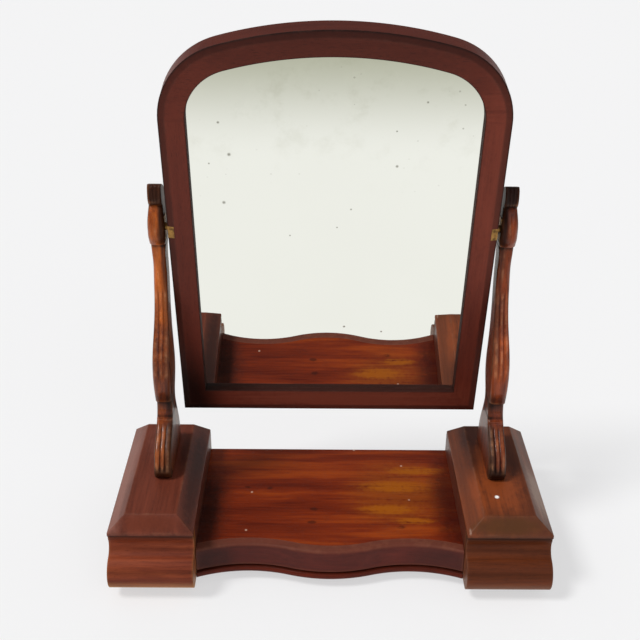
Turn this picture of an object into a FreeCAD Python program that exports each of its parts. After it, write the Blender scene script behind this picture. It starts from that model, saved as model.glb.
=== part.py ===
"""Dressing-table swing mirror on two drawer plinths, in millimetres, +Z up.

The origin lies on the floor below the middle of the overall box. +X is to the right of someone who
faces the mirror, and -Y is the front. Distances from front to back are taken from the middle of the
plinth lids until a piece is written out. The mirror is built upright about its pivot and then tilted
forward to its rest pose.
"""
import FreeCAD
import Part
import math
import os

from FreeCAD import Vector as V

# ---------------------------------------------------------------- driving dimensions
# Plinths: two boxes with a chamfered lid, one on each side.
plinth_outer = 280.0        # outer face of each plinth from the centre line
plinth_width = 108.0        # width of one plinth
plinth_depth = 235.0        # lid, front to back
foot_height = 14.0          # floor to underside of the boxes
box_height = 72.0           # underside of the box to underside of the lid
lid_edge = 5.0              # upright edge of the lid
lid_rise = 19.0             # height of the sloping border
lid_slope_x = 21.5          # plan width of the sloping border at the sides
lid_slope_y = 15.5          # plan width of the sloping border at front and back
board = 8.0                 # plinth sides, back and bottom

# Drawers
band_recess = 3.8           # drawer front's upper band, behind the lid's edge
band_height = 7.0           # height of that flat band
hollow_recess = 5.6         # deepest point of the hollow, behind the lid's edge
hollow_height = 56.7        # height of that point above the front's lower edge
break_out = 6.5             # change from hollow to belly, ahead of the lid's edge
break_height = 43.0         # height of that change above the front's lower edge
belly_out = 22.5            # crest of the belly, ahead of the lid's edge
belly_height = 21.0         # height of the crest above the front's lower edge
front_foot_out = 11.0       # front's lower edge, ahead of the lid's edge
front_back_face = 20.0      # flat back of the drawer front, behind the lid's edge
front_gap = 0.7             # drawer front to lid
drawer_run = 0.3            # drawer box to the board it slides on
drawer_side_gap = 0.8       # drawer box to each plinth side
drawer_head_room = 11.7     # top of the drawer sides to the lid
drawer_back_gap = 9.0       # drawer box to the plinth's back board
drawer_side = 6.0           # drawer side and back boards
panel = 4.0                 # drawer bottom panel
panel_up = 4.0              # panel above the lower edge of the drawer sides
groove = 2.5                # depth of the grooves that hold the panel
fit_gap = 0.1               # joinery clearance
tail_count = 2
tail_root = 11.0            # dovetail width where it leaves the side board
tail_tip = 16.0             # dovetail width at its end
tail_length = 9.0           # dovetail length into the drawer front

# Shelf between the plinths, with a serpentine rail flush with its top
shelf_top = 57.0            # floor to shelf
shelf_board = 10.0
shelf_tongue = 4.0          # shelf end let into the plinth side
serpentine_radius = 182.0   # every bend of the serpentine
serpentine_break = 52.0     # centre line to the first change of bend
rail_recess = 7.2           # rail face at the centre, behind the lid's edge
rail_thick = 13.0
rail_below_shelf = 22.5     # rail below the underside of the shelf board
rail_round = 4.5            # rounding of the rail's upper front edge
rail_end_gap = 0.4          # rail, moulding and shelf to the sides of the drawer fronts
moulding_drop = 10.5        # height of the moulding below the rail
moulding_out = 3.5          # moulding ahead of the rail's face
moulding_round = 3.8        # rounding of the moulding's front edges
quirk_height = 2.2          # height of the sunk line between rail and moulding
quirk_depth = 2.0           # depth of that sunk line, behind the rail's face
moulding_back = 22.0        # back of the moulding, behind the rail's face
back_rail = 12.0            # thickness of the rail under the shelf's back edge
block_leg = 14.0            # legs of the triangular glue blocks
block_length = 40.0
back_blocks = 3             # glue blocks along the back rail
side_blocks = 2             # glue blocks along each plinth side

# Feet
foot_radius = 16.0
foot_pad = 9.0              # radius where the foot meets the floor
foot_seat = 13.0            # radius where the foot meets the box
foot_inset = 42.0           # foot centre from the front and back of the lid
spigot_radius = 6.0
spigot_length = 6.5

# Pivots
pivot_height = 431.0        # floor to pivot
pivot_back = 62.5           # pivot behind the middle of the lid
pivot_gap = 4.25            # frame's edge to the post
pin_radius = 3.0
pin_gap = 0.05              # pin to its bore, for free turning
pin_end_gap = 0.3           # pin's end to the bottom of its pocket
pin_in_post = 11.0
collar_radius = 4.8
collar_gap = 0.3            # collar to the frame's edge
pivot_block_high = 16.5     # brass block in the frame's edge
pivot_block_wide = 8.0
pivot_block_back = 8.0      # block's back behind the pivot
block_screw_bite = 4.5      # block screws beyond the block
block_screw_edge = 2.7      # block screws from the block's ends
plate_thick = 1.5           # brass plate in the post's face
plate_high = 30.0
plate_deep = 14.0
plate_screw_edge = 5.0      # plate screws from the plate's ends
plate_screw_length = 9.0
small_shank = 1.1           # radius of the small brass screws
small_head = 2.1
screw_gap = 0.05            # screw to its hole

# Posts: sawn S-scrolls
post_inset = 60.0           # middle of the post from the outer face of the plinth
post_width = 23.0           # thickness of the post at its knee, its thickest place
reed_groove = 1.4           # width of the grooves between the reeds
tenon_width = 10.0
tenon_ahead = 58.5          # front of the tenon, ahead of the pivot
tenon_depth = 46.0
tenon_length = 14.0
post_screw_shank = 2.0      # radius of the long wood screws
post_screw_head = 4.0
post_screw_bite = 22.0      # length of the screw beyond the lid's underside of the tenon
post_screw_edge = 11.5      # long screws from the front and back of the tenon

# Mirror, measured upright about the pivot
rest_tilt = 10.0            # top leans forward at rest, in degrees
swing_gap = 26.5            # frame's lower edge to the lids when the mirror is upright
frame_above = 260.5         # pivot to the crown of the arch
crown_radius = 500.0
shoulder_radius = 95.5
member = 32.0               # width of the stiles
bottom_member = 35.0        # width of the bottom rail
arch_member = 30.6          # width of the arched rail at the crown
frame_thick = 31.0
edge_bevel_in = 8.5         # outer bevel, measured across the face
edge_bevel_back = 1.8       # outer bevel, measured back from the face
sight_lip = 8.0             # timber in front of the glass
glass_cover = 6.0           # glass behind the frame's inner edge
glass_thick = 3.0
glass_play = 0.5            # glass to the edge of its rebate
board_cover = 12.0          # backboard behind the frame's inner edge
backboard = 6.0
glass_block_width = 4.5
glass_block_length = 26.0
side_glass_blocks = 3
low_glass_blocks = 3
side_board_screws = 3
low_board_screws = 2
board_screw_bite = 4.5      # backboard screws beyond the backboard

overcut = 1.0               # cutters run past the faces they open

# ---------------------------------------------------------------- patterns of the post
# Side view, front edge up then rear edge down: (behind the pivot, height above the lid), drawn for
# a pivot at the pattern's own height and stretched to the real one.
pattern_pivot = 321.0
toe = [(-89.5, 0), (-94, 5), (-95, 14), (-90, 27), (-77.5, 41), (-58.5, 54), (-45.5, 66)]
neck = [(-45.5, 66), (-42, 77), (-41.5, 90)]
knee_and_shaft = [
    (-49.5, 92.5), (-53, 108), (-53, 128), (-48.5, 147), (-38.5, 167), (-24.5, 189), (-15.5, 210),
    (-9.5, 235), (-5.5, 262), (-4, 282), (-3.5, 297),
]
drop = [(-12.5, 300.5), (-17, 308), (-17.5, 320), (-14, 332), (-7, 344), (-3, 349)]
head = [(-6.5, 353), (-8.5, 361), (-8, 371), (-4.5, 375.5)]
crest = [(-4.5, 375.5), (4.5, 375.5), (15.5, 370), (23.5, 359)]
rear = [
    (23.5, 359), (25, 343), (26.5, 325), (26, 300), (24, 270), (21.5, 243), (16.5, 215), (8.5, 185),
    (4, 155), (3.5, 128), (-1.5, 104), (-7.5, 86), (-4.5, 66), (3.5, 46), (10.5, 24), (12.5, 0),
]
# Front view: (height above the lid, how much thinner than the knee).
waist = [
    (0, 1), (40, 1), (62, 2), (88, 2.5), (108, 1), (140, 0), (175, 2.5), (215, 5.5), (260, 6),
    (290, 5.5), (302, 3), (318, 1.5), (334, 2.5), (349, 5.5), (360, 6), (380, 6),
]
pivot_waist = 1.5           # how much thinner than the knee the post is at the pivot
# Reeded stretches of the front: (lowest height, highest height, groove depth, pitch), and how many
# grooves each has.
reeding = [(16, 60, 1.5, 6.0), (132, 232, 1.2, 6.0), (354, 380, 1.2, 4.0)]
reed_counts = (2, 2, 3)

# ---------------------------------------------------------------- derived places
plinth_inner = plinth_outer - plinth_width
plinth_mid = plinth_outer - plinth_width / 2
lid_front = -plinth_depth / 2
lid_back = plinth_depth / 2
box_top = foot_height + box_height
lid_top = box_top + lid_edge + lid_rise
carcass_front = lid_front + front_back_face
drawer_low = foot_height + board + drawer_run
drawer_high = box_top - drawer_head_room
drawer_back = lid_back - board - drawer_back_gap
panel_z = (drawer_low + panel_up, drawer_low + panel_up + panel)
shelf_bottom = shelf_top - shelf_board
rail_top = shelf_top
rail_bottom = shelf_bottom - rail_below_shelf
rail_face = lid_front + rail_recess
moulding_low = rail_bottom - moulding_drop
post_x = plinth_outer - post_inset
post_inner = post_x - (post_width - pivot_waist) / 2
post_stretch = (pivot_height - lid_top) / pattern_pivot
tenon_front = pivot_back - tenon_ahead
frame_half = post_inner - pivot_gap
frame_below = pivot_height - lid_top - swing_gap
face_y = -frame_thick / 2
glass_y = face_y + sight_lip
board_y = frame_thick / 2 - backboard
tilt = math.radians(rest_tilt)
frame_back = pivot_back + frame_below * math.sin(tilt) + frame_thick / 2 * math.cos(tilt)
shift_y = (belly_out - lid_front - max(frame_back, lid_back)) / 2

SIDES = (("left", -1), ("right", 1))


# ---------------------------------------------------------------- helpers
def box(x, y, z):
    """A box from three pairs of limits, each in any order."""
    lows = [min(pair) for pair in (x, y, z)]
    sizes = [abs(pair[1] - pair[0]) for pair in (x, y, z)]
    return Part.makeBox(*sizes, V(*lows))


def rod(start, direction, radius, length):
    return Part.makeCylinder(radius, length, start, direction)


def polygon(points):
    return Part.makePolygon(points + [points[0]])


def prism(points, direction):
    return Part.Face(polygon(points)).extrude(direction)


def arc(a, b, c):
    return Part.Arc(a, b, c).toShape()


def line(a, b):
    return Part.makeLine(a, b)


def outline(edges):
    return Part.Face(Part.Wire(Part.__sortEdges__(edges)))


def curve(points):
    """A smooth curve through the points."""
    spline = Part.BSplineCurve()
    spline.interpolate(points)
    return spline.toShape()


def group(shapes):
    return Part.makeCompound(shapes)


def spaced(low, high, count):
    """Middles of equal bays between two limits."""
    bay = (high - low) / count
    return [low + bay * (index + 0.5) for index in range(count)]


def export(name, shape):
    """Writes one piece, moved so that the origin is under the middle of the whole."""
    placed = shape.copy()
    placed.translate(V(0, shift_y, 0))
    placed.exportStep("parts/" + name + ".step")


def wood_screw(tip, direction, length, shank, head_radius):
    """A countersunk screw that runs from its tip to the flat face of its head."""
    taper = head_radius - shank
    body = rod(tip, direction, shank, length - taper)
    cone = Part.makeCone(shank, head_radius, taper, tip + direction * (length - taper), direction)
    return body.fuse(cone).removeSplitter()


def screw_set(places, direction, length, shank, head_radius, as_holes):
    """Screws at the given tips, or the room for them."""
    extra = screw_gap if as_holes else 0
    return group([wood_screw(tip, direction, length, shank + extra, head_radius + extra) for tip in places])


# ---------------------------------------------------------------- plinths
def lid(side):
    """A slab with an upright edge and four sloping borders, mortised for the post's tenon."""
    x_out = side * plinth_outer
    x_in = side * plinth_inner

    def rim(inset_x, inset_y, z):
        a = x_in + side * inset_x
        b = x_out - side * inset_x
        front = lid_front + inset_y
        back = lid_back - inset_y
        return polygon([V(a, front, z), V(b, front, z), V(b, back, z), V(a, back, z)])

    edge = box((x_in, x_out), (lid_front, lid_back), (box_top, box_top + lid_edge))
    slope = Part.makeLoft(
        [rim(0, 0, box_top + lid_edge), rim(lid_slope_x, lid_slope_y, lid_top)], True, True
    )
    body = edge.fuse(slope).removeSplitter()
    return body.cut(tenon(side, fit_gap)).cut(post_screws(side, True))


def plinth_side(x_face, inward):
    return box(
        (x_face, x_face + inward * board), (carcass_front, lid_back), (foot_height, box_top)
    )


def plinth(name, side):
    """A box of four boards under its lid; the inner side is housed for the shelf's tongue."""
    x_out = side * plinth_outer
    x_in = side * plinth_inner
    clear = (x_in + side * board, x_out - side * board)
    housing = box(
        (x_in, x_in + side * (shelf_tongue + fit_gap)),
        (carcass_front, lid_back),
        (shelf_bottom, shelf_top),
    )
    bottom = box(clear, (carcass_front, lid_back - board), (foot_height, foot_height + board))
    for y in foot_places():
        bottom = bottom.cut(spigot(side, y, fit_gap))
    export(name + "_plinth_lid", lid(side))
    export(name + "_plinth_outer_side", plinth_side(x_out, -side))
    export(name + "_plinth_inner_side", plinth_side(x_in, side).cut(housing))
    export(name + "_plinth_back", box(clear, (lid_back - board, lid_back), (foot_height, box_top)))
    export(name + "_plinth_bottom", bottom)


def foot_places():
    return (lid_front + foot_inset, lid_back - foot_inset)


def spigot(side, y, extra):
    base = V(side * plinth_mid, y, foot_height)
    return rod(base, V(0, 0, 1), spigot_radius + extra, spigot_length + extra)


def bun_foot(side, y):
    """A turned bun: a round belly between a flat pad and a flat seat, with a spigot on top."""
    half = outline([
        line(V(0, 0, 0), V(foot_pad, 0, 0)),
        arc(V(foot_pad, 0, 0), V(foot_radius, 0, foot_height / 2), V(foot_seat, 0, foot_height)),
        line(V(foot_seat, 0, foot_height), V(0, 0, foot_height)),
        line(V(0, 0, foot_height), V(0, 0, 0)),
    ])
    bun = half.revolve(V(0, 0, 0), V(0, 0, 1), 360)
    bun.translate(V(side * plinth_mid, y, 0))
    return bun.fuse(spigot(side, y, 0)).removeSplitter()


def feet():
    for name, side in SIDES:
        for place, y in zip(("front", "back"), foot_places()):
            export(name + "_" + place + "_foot", bun_foot(side, y))


# ---------------------------------------------------------------- drawers
def ogee_section(x):
    """The drawer front's section: a flat band, a hollow, a belly and a flat back."""
    top = box_top - front_gap
    band_top = V(x, lid_front + band_recess, top)
    band_low = V(x, lid_front + band_recess, top - band_height)
    hollow = V(x, lid_front + hollow_recess, foot_height + hollow_height)
    turn = V(x, lid_front - break_out, foot_height + break_height)
    belly = V(x, lid_front - belly_out, foot_height + belly_height)
    low_front = V(x, lid_front - front_foot_out, foot_height)
    low_back = V(x, carcass_front, foot_height)
    high_back = V(x, carcass_front, top)
    return outline([
        line(band_top, band_low),
        arc(band_low, hollow, turn),
        arc(turn, belly, low_front),
        line(low_front, low_back),
        line(low_back, high_back),
        line(high_back, band_top),
    ])


def tails(x_low, x_high, extra):
    """Dovetails at the front end of a drawer side, widening towards the front."""
    root = tail_root / 2 + extra
    tip = tail_tip / 2 + extra
    far = carcass_front - tail_length - extra
    across = V(x_high - x_low, 0, 0)
    return group([
        prism(
            [V(x_low, carcass_front, z - root), V(x_low, far, z - tip),
             V(x_low, far, z + tip), V(x_low, carcass_front, z + root)],
            across,
        )
        for z in spaced(drawer_low, drawer_high, tail_count)
    ])


def drawer(name, side):
    """A dovetailed box behind the ogee front, with a panel held in grooves."""
    x_low = min(side * plinth_inner, side * plinth_outer)
    box_low = x_low + board + drawer_side_gap
    box_high = x_low + plinth_width - board - drawer_side_gap
    front = ogee_section(x_low).extrude(V(plinth_width, 0, 0))
    for hand, x_face, inward in (("left", box_low, 1), ("right", box_high, -1)):
        near = min(x_face, x_face + inward * drawer_side)
        far = near + drawer_side
        wall = box((near, far), (carcass_front, drawer_back), (drawer_low, drawer_high))
        wall = wall.fuse(tails(near, far, 0)).removeSplitter()
        slot = box(
            (x_face + inward * (drawer_side - groove), x_face + inward * drawer_side),
            (carcass_front - tail_length - overcut, drawer_back),
            panel_z,
        )
        export(name + "_drawer_" + hand + "_side", wall.cut(slot))
        front = front.cut(tails(near - fit_gap, far + fit_gap, fit_gap))
    inside = (box_low + drawer_side, box_high - drawer_side)
    front_groove = box(
        (inside[0] - groove, inside[1] + groove), (carcass_front - groove, carcass_front), panel_z
    )
    export(name + "_drawer_front", front.cut(front_groove))
    export(name + "_drawer_back", box(
        inside, (drawer_back - drawer_side, drawer_back), (panel_z[1], drawer_high)
    ))
    export(name + "_drawer_bottom", box(
        (inside[0] - groove + fit_gap, inside[1] + groove - fit_gap),
        (carcass_front - groove + fit_gap, drawer_back),
        panel_z,
    ))


# ---------------------------------------------------------------- shelf and serpentine rail
def serpentine(offset, z):
    """The serpentine line, moved back by the offset, as three tangent arcs from left to right.

    The middle arc bows forward. Each outer arc turns the other way and starts where the middle one
    ends, on the line between their centres.
    """
    mid_radius = serpentine_radius - offset
    end_radius = serpentine_radius + offset
    mid_y = rail_face + serpentine_radius
    end_x = 2 * serpentine_break
    end_y = mid_y - 2 * math.sqrt(serpentine_radius ** 2 - serpentine_break ** 2)

    def mid_point(x):
        return V(x, mid_y - math.sqrt(mid_radius ** 2 - x ** 2), z)

    def end_point(x, side):
        return V(x, end_y + math.sqrt(end_radius ** 2 - (x - side * end_x) ** 2), z)

    turn = mid_radius * serpentine_break / serpentine_radius
    last = plinth_inner - rail_end_gap
    half_way = (last + turn) / 2
    arcs = [
        arc(end_point(-last, -1), end_point(-half_way, -1), mid_point(-turn)),
        arc(mid_point(-turn), mid_point(0), mid_point(turn)),
        arc(mid_point(turn), end_point(half_way, 1), end_point(last, 1)),
    ]
    return arcs, end_point(-last, -1), end_point(last, 1)


def serpentine_strip(front, back, low, high):
    """A strip between two parallel serpentine lines."""
    near, near_left, near_right = serpentine(front, low)
    far, far_left, far_right = serpentine(back, low)
    ends = [line(near_left, far_left), line(near_right, far_right)]
    return outline(near + far + ends).extrude(V(0, 0, high - low))


def long_edges(shape, offset, z):
    """The edges of a strip that lie on one serpentine line at one height."""
    path = group(serpentine(offset, z)[0])
    found = []
    for edge in shape.Edges:
        middle = Part.Vertex(edge.valueAt((edge.FirstParameter + edge.LastParameter) / 2))
        if middle.distToShape(path)[0] < fit_gap:
            found.append(edge)
    return found


def shelf():
    """The board between the plinths; its front edge follows the back of the rail."""
    half = plinth_inner - rail_end_gap
    far, left, right = serpentine(rail_thick, shelf_bottom)
    back_left = V(-half, lid_back, shelf_bottom)
    back_right = V(half, lid_back, shelf_bottom)
    plan = outline(far + [line(left, back_left), line(back_left, back_right), line(back_right, right)])
    body = plan.extrude(V(0, 0, shelf_board))
    for side in (-1, 1):
        body = body.fuse(box(
            (side * half, side * (plinth_inner + shelf_tongue)),
            (carcass_front + fit_gap, lid_back),
            (shelf_bottom, shelf_top),
        ))
    return body.removeSplitter()


def moulding():
    """A round-nosed strip below the rail, with a sunk line above its nose."""
    bead_top = rail_bottom - quirk_height
    bead = serpentine_strip(-moulding_out, moulding_back, moulding_low, bead_top)
    for z in (bead_top, moulding_low):
        bead = bead.makeFillet(moulding_round, long_edges(bead, -moulding_out, z))
    quirk = serpentine_strip(quirk_depth, moulding_back, bead_top, rail_bottom)
    return bead.fuse(quirk).removeSplitter()


def glue_blocks():
    """Triangular blocks under the shelf, against the back rail and against the plinth sides."""
    blocks = []
    y = lid_back - back_rail
    for x in spaced(-plinth_inner, plinth_inner, back_blocks):
        low = x - block_length / 2
        blocks.append(prism(
            [V(low, y, shelf_bottom), V(low, y - block_leg, shelf_bottom),
             V(low, y, shelf_bottom - block_leg)],
            V(block_length, 0, 0),
        ))
    for side in (-1, 1):
        x = side * plinth_inner
        for middle in spaced(carcass_front, y - block_leg, side_blocks):
            low = middle - block_length / 2
            blocks.append(prism(
                [V(x, low, shelf_bottom), V(x - side * block_leg, low, shelf_bottom),
                 V(x, low, shelf_bottom - block_leg)],
                V(0, block_length, 0),
            ))
    return group(blocks)


def platform():
    rail = serpentine_strip(0, rail_thick, rail_bottom, rail_top)
    export("serpentine_rail", rail.makeFillet(rail_round, long_edges(rail, 0, rail_top)))
    export("serpentine_moulding", moulding())
    export("shelf", shelf())
    export("shelf_back_rail", box(
        (-plinth_inner, plinth_inner), (lid_back - back_rail, lid_back), (moulding_low, shelf_bottom)
    ))
    export("glue_blocks", glue_blocks())


# ---------------------------------------------------------------- posts
def on_post(x, point):
    """A point of the side view's pattern, at the real pivot's place and height."""
    return V(x, pivot_back + point[0], lid_top + point[1] * post_stretch)


def side_view(x):
    """The scroll's outline in a plane of its flat side."""
    runs = (toe, neck, knee_and_shaft, drop, head, crest, rear)
    edges = [curve([on_post(x, point) for point in run]) for run in runs]
    for before, after in ((neck, knee_and_shaft), (knee_and_shaft, drop), (drop, head), (rear, toe)):
        edges.append(line(on_post(x, before[-1]), on_post(x, after[0])))
    return outline(edges)


def front_view(side):
    """The post's thickness seen from the front, as a symmetric outline."""
    def edge_point(sign, height, thinner):
        half = (post_width - thinner) / 2
        return V(side * post_x + sign * half, lid_front, lid_top + height * post_stretch)

    left, right = [[edge_point(sign, *level) for level in waist] for sign in (-1, 1)]
    return outline([curve(left), curve(right), line(left[0], right[0]), line(left[-1], right[-1])])


def tenon(side, extra):
    x = side * post_x
    half = tenon_width / 2 + extra
    return box(
        (x - half, x + half),
        (tenon_front - extra, tenon_front + tenon_depth + extra),
        (lid_top - tenon_length - extra, lid_top),
    )


def post_screws(side, as_holes):
    """Two screws driven up through the lid into the post's tenon."""
    length = lid_edge + lid_rise - tenon_length + post_screw_bite
    places = [tenon_front + post_screw_edge, tenon_front + tenon_depth - post_screw_edge]
    tips = [V(side * post_x, y, box_top + length) for y in places]
    return screw_set(tips, V(0, 0, -1), length, post_screw_shank, post_screw_head, as_holes)


def reed_grooves(side):
    """Grooves of even depth that follow the front line of the scroll."""
    grooves = []
    for (low, high, depth, pitch), count in zip(reeding, reed_counts):
        room = box(
            (-plinth_outer, plinth_outer), (lid_front, lid_back),
            (lid_top + low * post_stretch, lid_top + high * post_stretch),
        )
        for index in range(count):
            x = side * post_x + (index - (count - 1) / 2) * pitch
            slab = side_view(x - reed_groove / 2).extrude(V(reed_groove, 0, 0))
            core = slab.copy()
            core.translate(V(0, depth, 0))
            grooves.append(slab.cut(core).common(room))
    return group(grooves)


def post(side):
    """The scroll is where its side view and its front view overlap, with a tenon below."""
    wide = side_view(side * post_x - post_width).extrude(V(2 * post_width, 0, 0))
    body = wide.common(front_view(side).extrude(V(0, plinth_depth, 0)))
    body = body.fuse(tenon(side, 0)).removeSplitter()
    body = body.cut(reed_grooves(side))
    body = body.cut(post_screws(side, True)).cut(pin_hole(side))
    return body.cut(plate(side, fit_gap, overcut)).cut(plate_screws(side, True))


# ---------------------------------------------------------------- pivots
def pivot(x):
    return V(x, pivot_back, pivot_height)


def pin_hole(side):
    start = pivot(side * (post_inner - overcut))
    length = overcut + pin_in_post + pin_gap
    return rod(start, V(side, 0, 0), pin_radius + pin_gap, length)


def pin(side):
    """A journal in the frame's brass block, a collar in the gap, and a shank in the post."""
    start = frame_half - pivot_block_wide + pin_end_gap
    shank = rod(pivot(side * start), V(side, 0, 0), pin_radius, post_inner + pin_in_post - start)
    collar_start = frame_half + collar_gap
    collar = rod(
        pivot(side * collar_start), V(side, 0, 0), collar_radius, post_inner - collar_start
    )
    return shank.fuse(collar).removeSplitter()


def plate(side, extra, proud):
    """A brass plate let into the post's inner face, or room for one that also clears its front."""
    half_y = plate_deep / 2 + extra
    half_z = plate_high / 2 + extra
    return box(
        (side * (post_inner - proud), side * (post_inner + plate_thick)),
        (pivot_back - half_y, pivot_back + half_y),
        (pivot_height - half_z, pivot_height + half_z),
    )


def plate_screws(side, as_holes):
    reach = plate_high / 2 - plate_screw_edge
    x = side * (post_inner + plate_screw_length)
    tips = [V(x, pivot_back, pivot_height + step * reach) for step in (-1, 1)]
    return screw_set(tips, V(-side, 0, 0), plate_screw_length, small_shank, small_head, as_holes)


def posts():
    for name, side in SIDES:
        export(name + "_post", post(side))
        export(name + "_pivot_pin", pin(side))
        metal = plate(side, 0, 0).cut(pin_hole(side)).cut(plate_screws(side, True))
        export(name + "_post_plate", metal)
    export("post_screws", group([post_screws(side, False) for name, side in SIDES]))
    export("post_plate_screws", group([plate_screws(side, False) for name, side in SIDES]))


# ---------------------------------------------------------------- mirror
def springing(half, crown, shoulder, above):
    """Height at which the shoulder arcs leave the straight sides."""
    return above - crown + math.sqrt((crown - shoulder) ** 2 - (half - shoulder) ** 2)


def arched(half, below, crown, shoulder, above, y):
    """An upright arched outline: straight sides, two shoulder arcs and a crown arc."""
    centre_x = half - shoulder
    centre_z = springing(half, crown, shoulder, above)
    meet = math.atan2(centre_z - above + crown, centre_x)

    def on_shoulder(angle, side):
        x = centre_x + shoulder * math.cos(angle)
        return V(side * x, y, centre_z + shoulder * math.sin(angle))

    edges = [arc(on_shoulder(meet, -1), V(0, y, above), on_shoulder(meet, 1))]
    for side in (-1, 1):
        edges.append(arc(on_shoulder(0, side), on_shoulder(meet / 2, side), on_shoulder(meet, side)))
        edges.append(line(V(side * half, y, -below), V(side * half, y, centre_z)))
    edges.append(line(V(-half, y, -below), V(half, y, -below)))
    return outline(edges)


def frame_outline(inset, y):
    """The frame's outer outline, moved inwards by an inset."""
    return arched(
        frame_half - inset, frame_below - inset, crown_radius - inset, shoulder_radius - inset,
        frame_above - inset, y,
    )


def sight_outline(outset, y):
    """The opening that shows the glass, moved outwards by an outset."""
    return arched(
        frame_half - member + outset, frame_below - bottom_member + outset,
        crown_radius - arch_member + outset, shoulder_radius - member + outset,
        frame_above - arch_member + outset, y,
    )


def whole_frame():
    """The frame before it is parted: a slab with an outer bevel, an opening and two stepped rebates."""
    edge_y = face_y + edge_bevel_back
    slab = frame_outline(0, edge_y).extrude(V(0, frame_thick - edge_bevel_back, 0))
    bevel = Part.makeLoft(
        [frame_outline(edge_bevel_in, face_y).OuterWire, frame_outline(0, edge_y).OuterWire],
        True, True,
    )
    through = V(0, frame_thick + 2 * overcut, 0)
    body = slab.fuse(bevel)
    body = body.cut(sight_outline(0, face_y - overcut).extrude(through))
    body = body.cut(sight_outline(glass_cover, glass_y).extrude(through))
    return body.cut(sight_outline(board_cover, board_y).extrude(through))


def members(body):
    """The frame parted in four: mitres at the bottom corners, butt joints where the arch springs."""
    spring = springing(frame_half, crown_radius, shoulder_radius, frame_above)
    depth = (-frame_thick, frame_thick)
    width = frame_half + overcut
    arch_room = box((-width, width), depth, (spring, frame_above + overcut))
    corner = frame_half - member
    low = -frame_below
    rail_room = prism(
        [V(-corner, depth[0], low + bottom_member), V(corner, depth[0], low + bottom_member),
         V(frame_half, depth[0], low), V(frame_half, depth[0], low - overcut),
         V(-frame_half, depth[0], low - overcut), V(-frame_half, depth[0], low)],
        V(0, depth[1] - depth[0], 0),
    )
    pieces = {"frame_arch": body.common(arch_room), "frame_bottom_rail": body.common(rail_room)}
    rest = body.cut(arch_room).cut(rail_room)
    for name, side in SIDES:
        stile = rest.common(box((0, side * width), depth, (low - overcut, spring)))
        stile = stile.cut(block_room(side)).cut(block_screws(side, True))
        pieces["frame_" + name + "_stile"] = stile
    return pieces


def block_room(side):
    """The pocket in the stile's edge for the brass pivot block, open to the front and the side."""
    half = pivot_block_high / 2
    return box(
        (side * (frame_half - pivot_block_wide), side * (frame_half + overcut)),
        (face_y - overcut, pivot_block_back),
        (-half, half),
    )


def pivot_block(body, side):
    """A brass block flush with the frame's edge and bevel, bored for the pin."""
    start = V(side * (frame_half + overcut), 0, 0)
    bore = rod(start, V(-side, 0, 0), pin_radius + pin_gap, pivot_block_wide + 2 * overcut)
    return body.common(block_room(side)).cut(bore).cut(block_screws(side, True))


def block_screws(side, as_holes):
    length = pivot_block_wide + block_screw_bite
    reach = pivot_block_high / 2 - block_screw_edge
    tips = [V(side * (frame_half - length), 0, step * reach) for step in (-1, 1)]
    return screw_set(tips, V(side, 0, 0), length, small_shank, small_head, as_holes)


def glass_blocks():
    """Softwood blocks in the rebate, between the back of the glass and the backboard."""
    depth = (glass_y + glass_thick, board_y)
    outer = frame_half - member + glass_cover - glass_play
    inner = outer - glass_block_width
    low = -frame_below + bottom_member - glass_cover + glass_play
    spring = springing(frame_half, crown_radius, shoulder_radius, frame_above)
    half = glass_block_length / 2
    blocks = []
    for side in (-1, 1):
        for z in spaced(low, spring, side_glass_blocks):
            blocks.append(box((side * inner, side * outer), depth, (z - half, z + half)))
    for x in spaced(-inner, inner, low_glass_blocks):
        blocks.append(box((x - half, x + half), depth, (low, low + glass_block_width)))
    return group(blocks)


def backboard_screws(as_holes):
    """Small screws through the edge of the backboard into the step behind the glass."""
    step = (glass_cover + board_cover) / 2
    across = frame_half - member + step
    low = -frame_below + bottom_member - step
    spring = springing(frame_half, crown_radius, shoulder_radius, frame_above)
    length = backboard + board_screw_bite
    y = frame_thick / 2 - length
    tips = [V(side * across, y, z) for side in (-1, 1) for z in spaced(low, spring, side_board_screws)]
    tips += [V(x, y, low) for x in spaced(-across, across, low_board_screws)]
    return screw_set(tips, V(0, 1, 0), length, small_shank, small_head, as_holes)


def tilted(shape):
    """Takes a piece from the upright mirror to its rest pose."""
    placed = shape.copy()
    placed.rotate(V(0, 0, 0), V(1, 0, 0), rest_tilt)
    placed.translate(pivot(0))
    return placed


def mirror():
    body = whole_frame()
    holes = backboard_screws(True)
    for name, piece in members(body).items():
        export(name, tilted(piece.cut(holes)))
    glass = sight_outline(glass_cover - glass_play, glass_y).extrude(V(0, glass_thick, 0))
    back = sight_outline(board_cover - glass_play, board_y).extrude(V(0, backboard, 0))
    export("mirror_glass", tilted(glass))
    export("glass_blocks", tilted(glass_blocks()))
    export("backboard", tilted(back.cut(holes)))
    export("backboard_screws", tilted(backboard_screws(False)))
    for name, side in SIDES:
        export(name + "_pivot_block", tilted(pivot_block(body, side)))
    screws = [block_screws(side, False) for name, side in SIDES]
    export("pivot_block_screws", tilted(group(screws)))


# ---------------------------------------------------------------- all pieces
os.makedirs("parts", exist_ok=True)
for label, hand in SIDES:
    plinth(label, hand)
    drawer(label, hand)
feet()
platform()
posts()
mirror()
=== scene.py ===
"""Finishes and shaped pieces for a dressing-table swing mirror on two drawer plinths.

Lengths are in millimetres in the shape functions and in metres in Blender, in the frame of the
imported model: +Z up, -Y the front, the floor at zero. Every shaped piece is a grid of points worked
out as whole arrays, and every finish is a set of nodes.
"""
import math

import bmesh
import bpy
import numpy as np
from mathutils import Matrix, Vector


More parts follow.
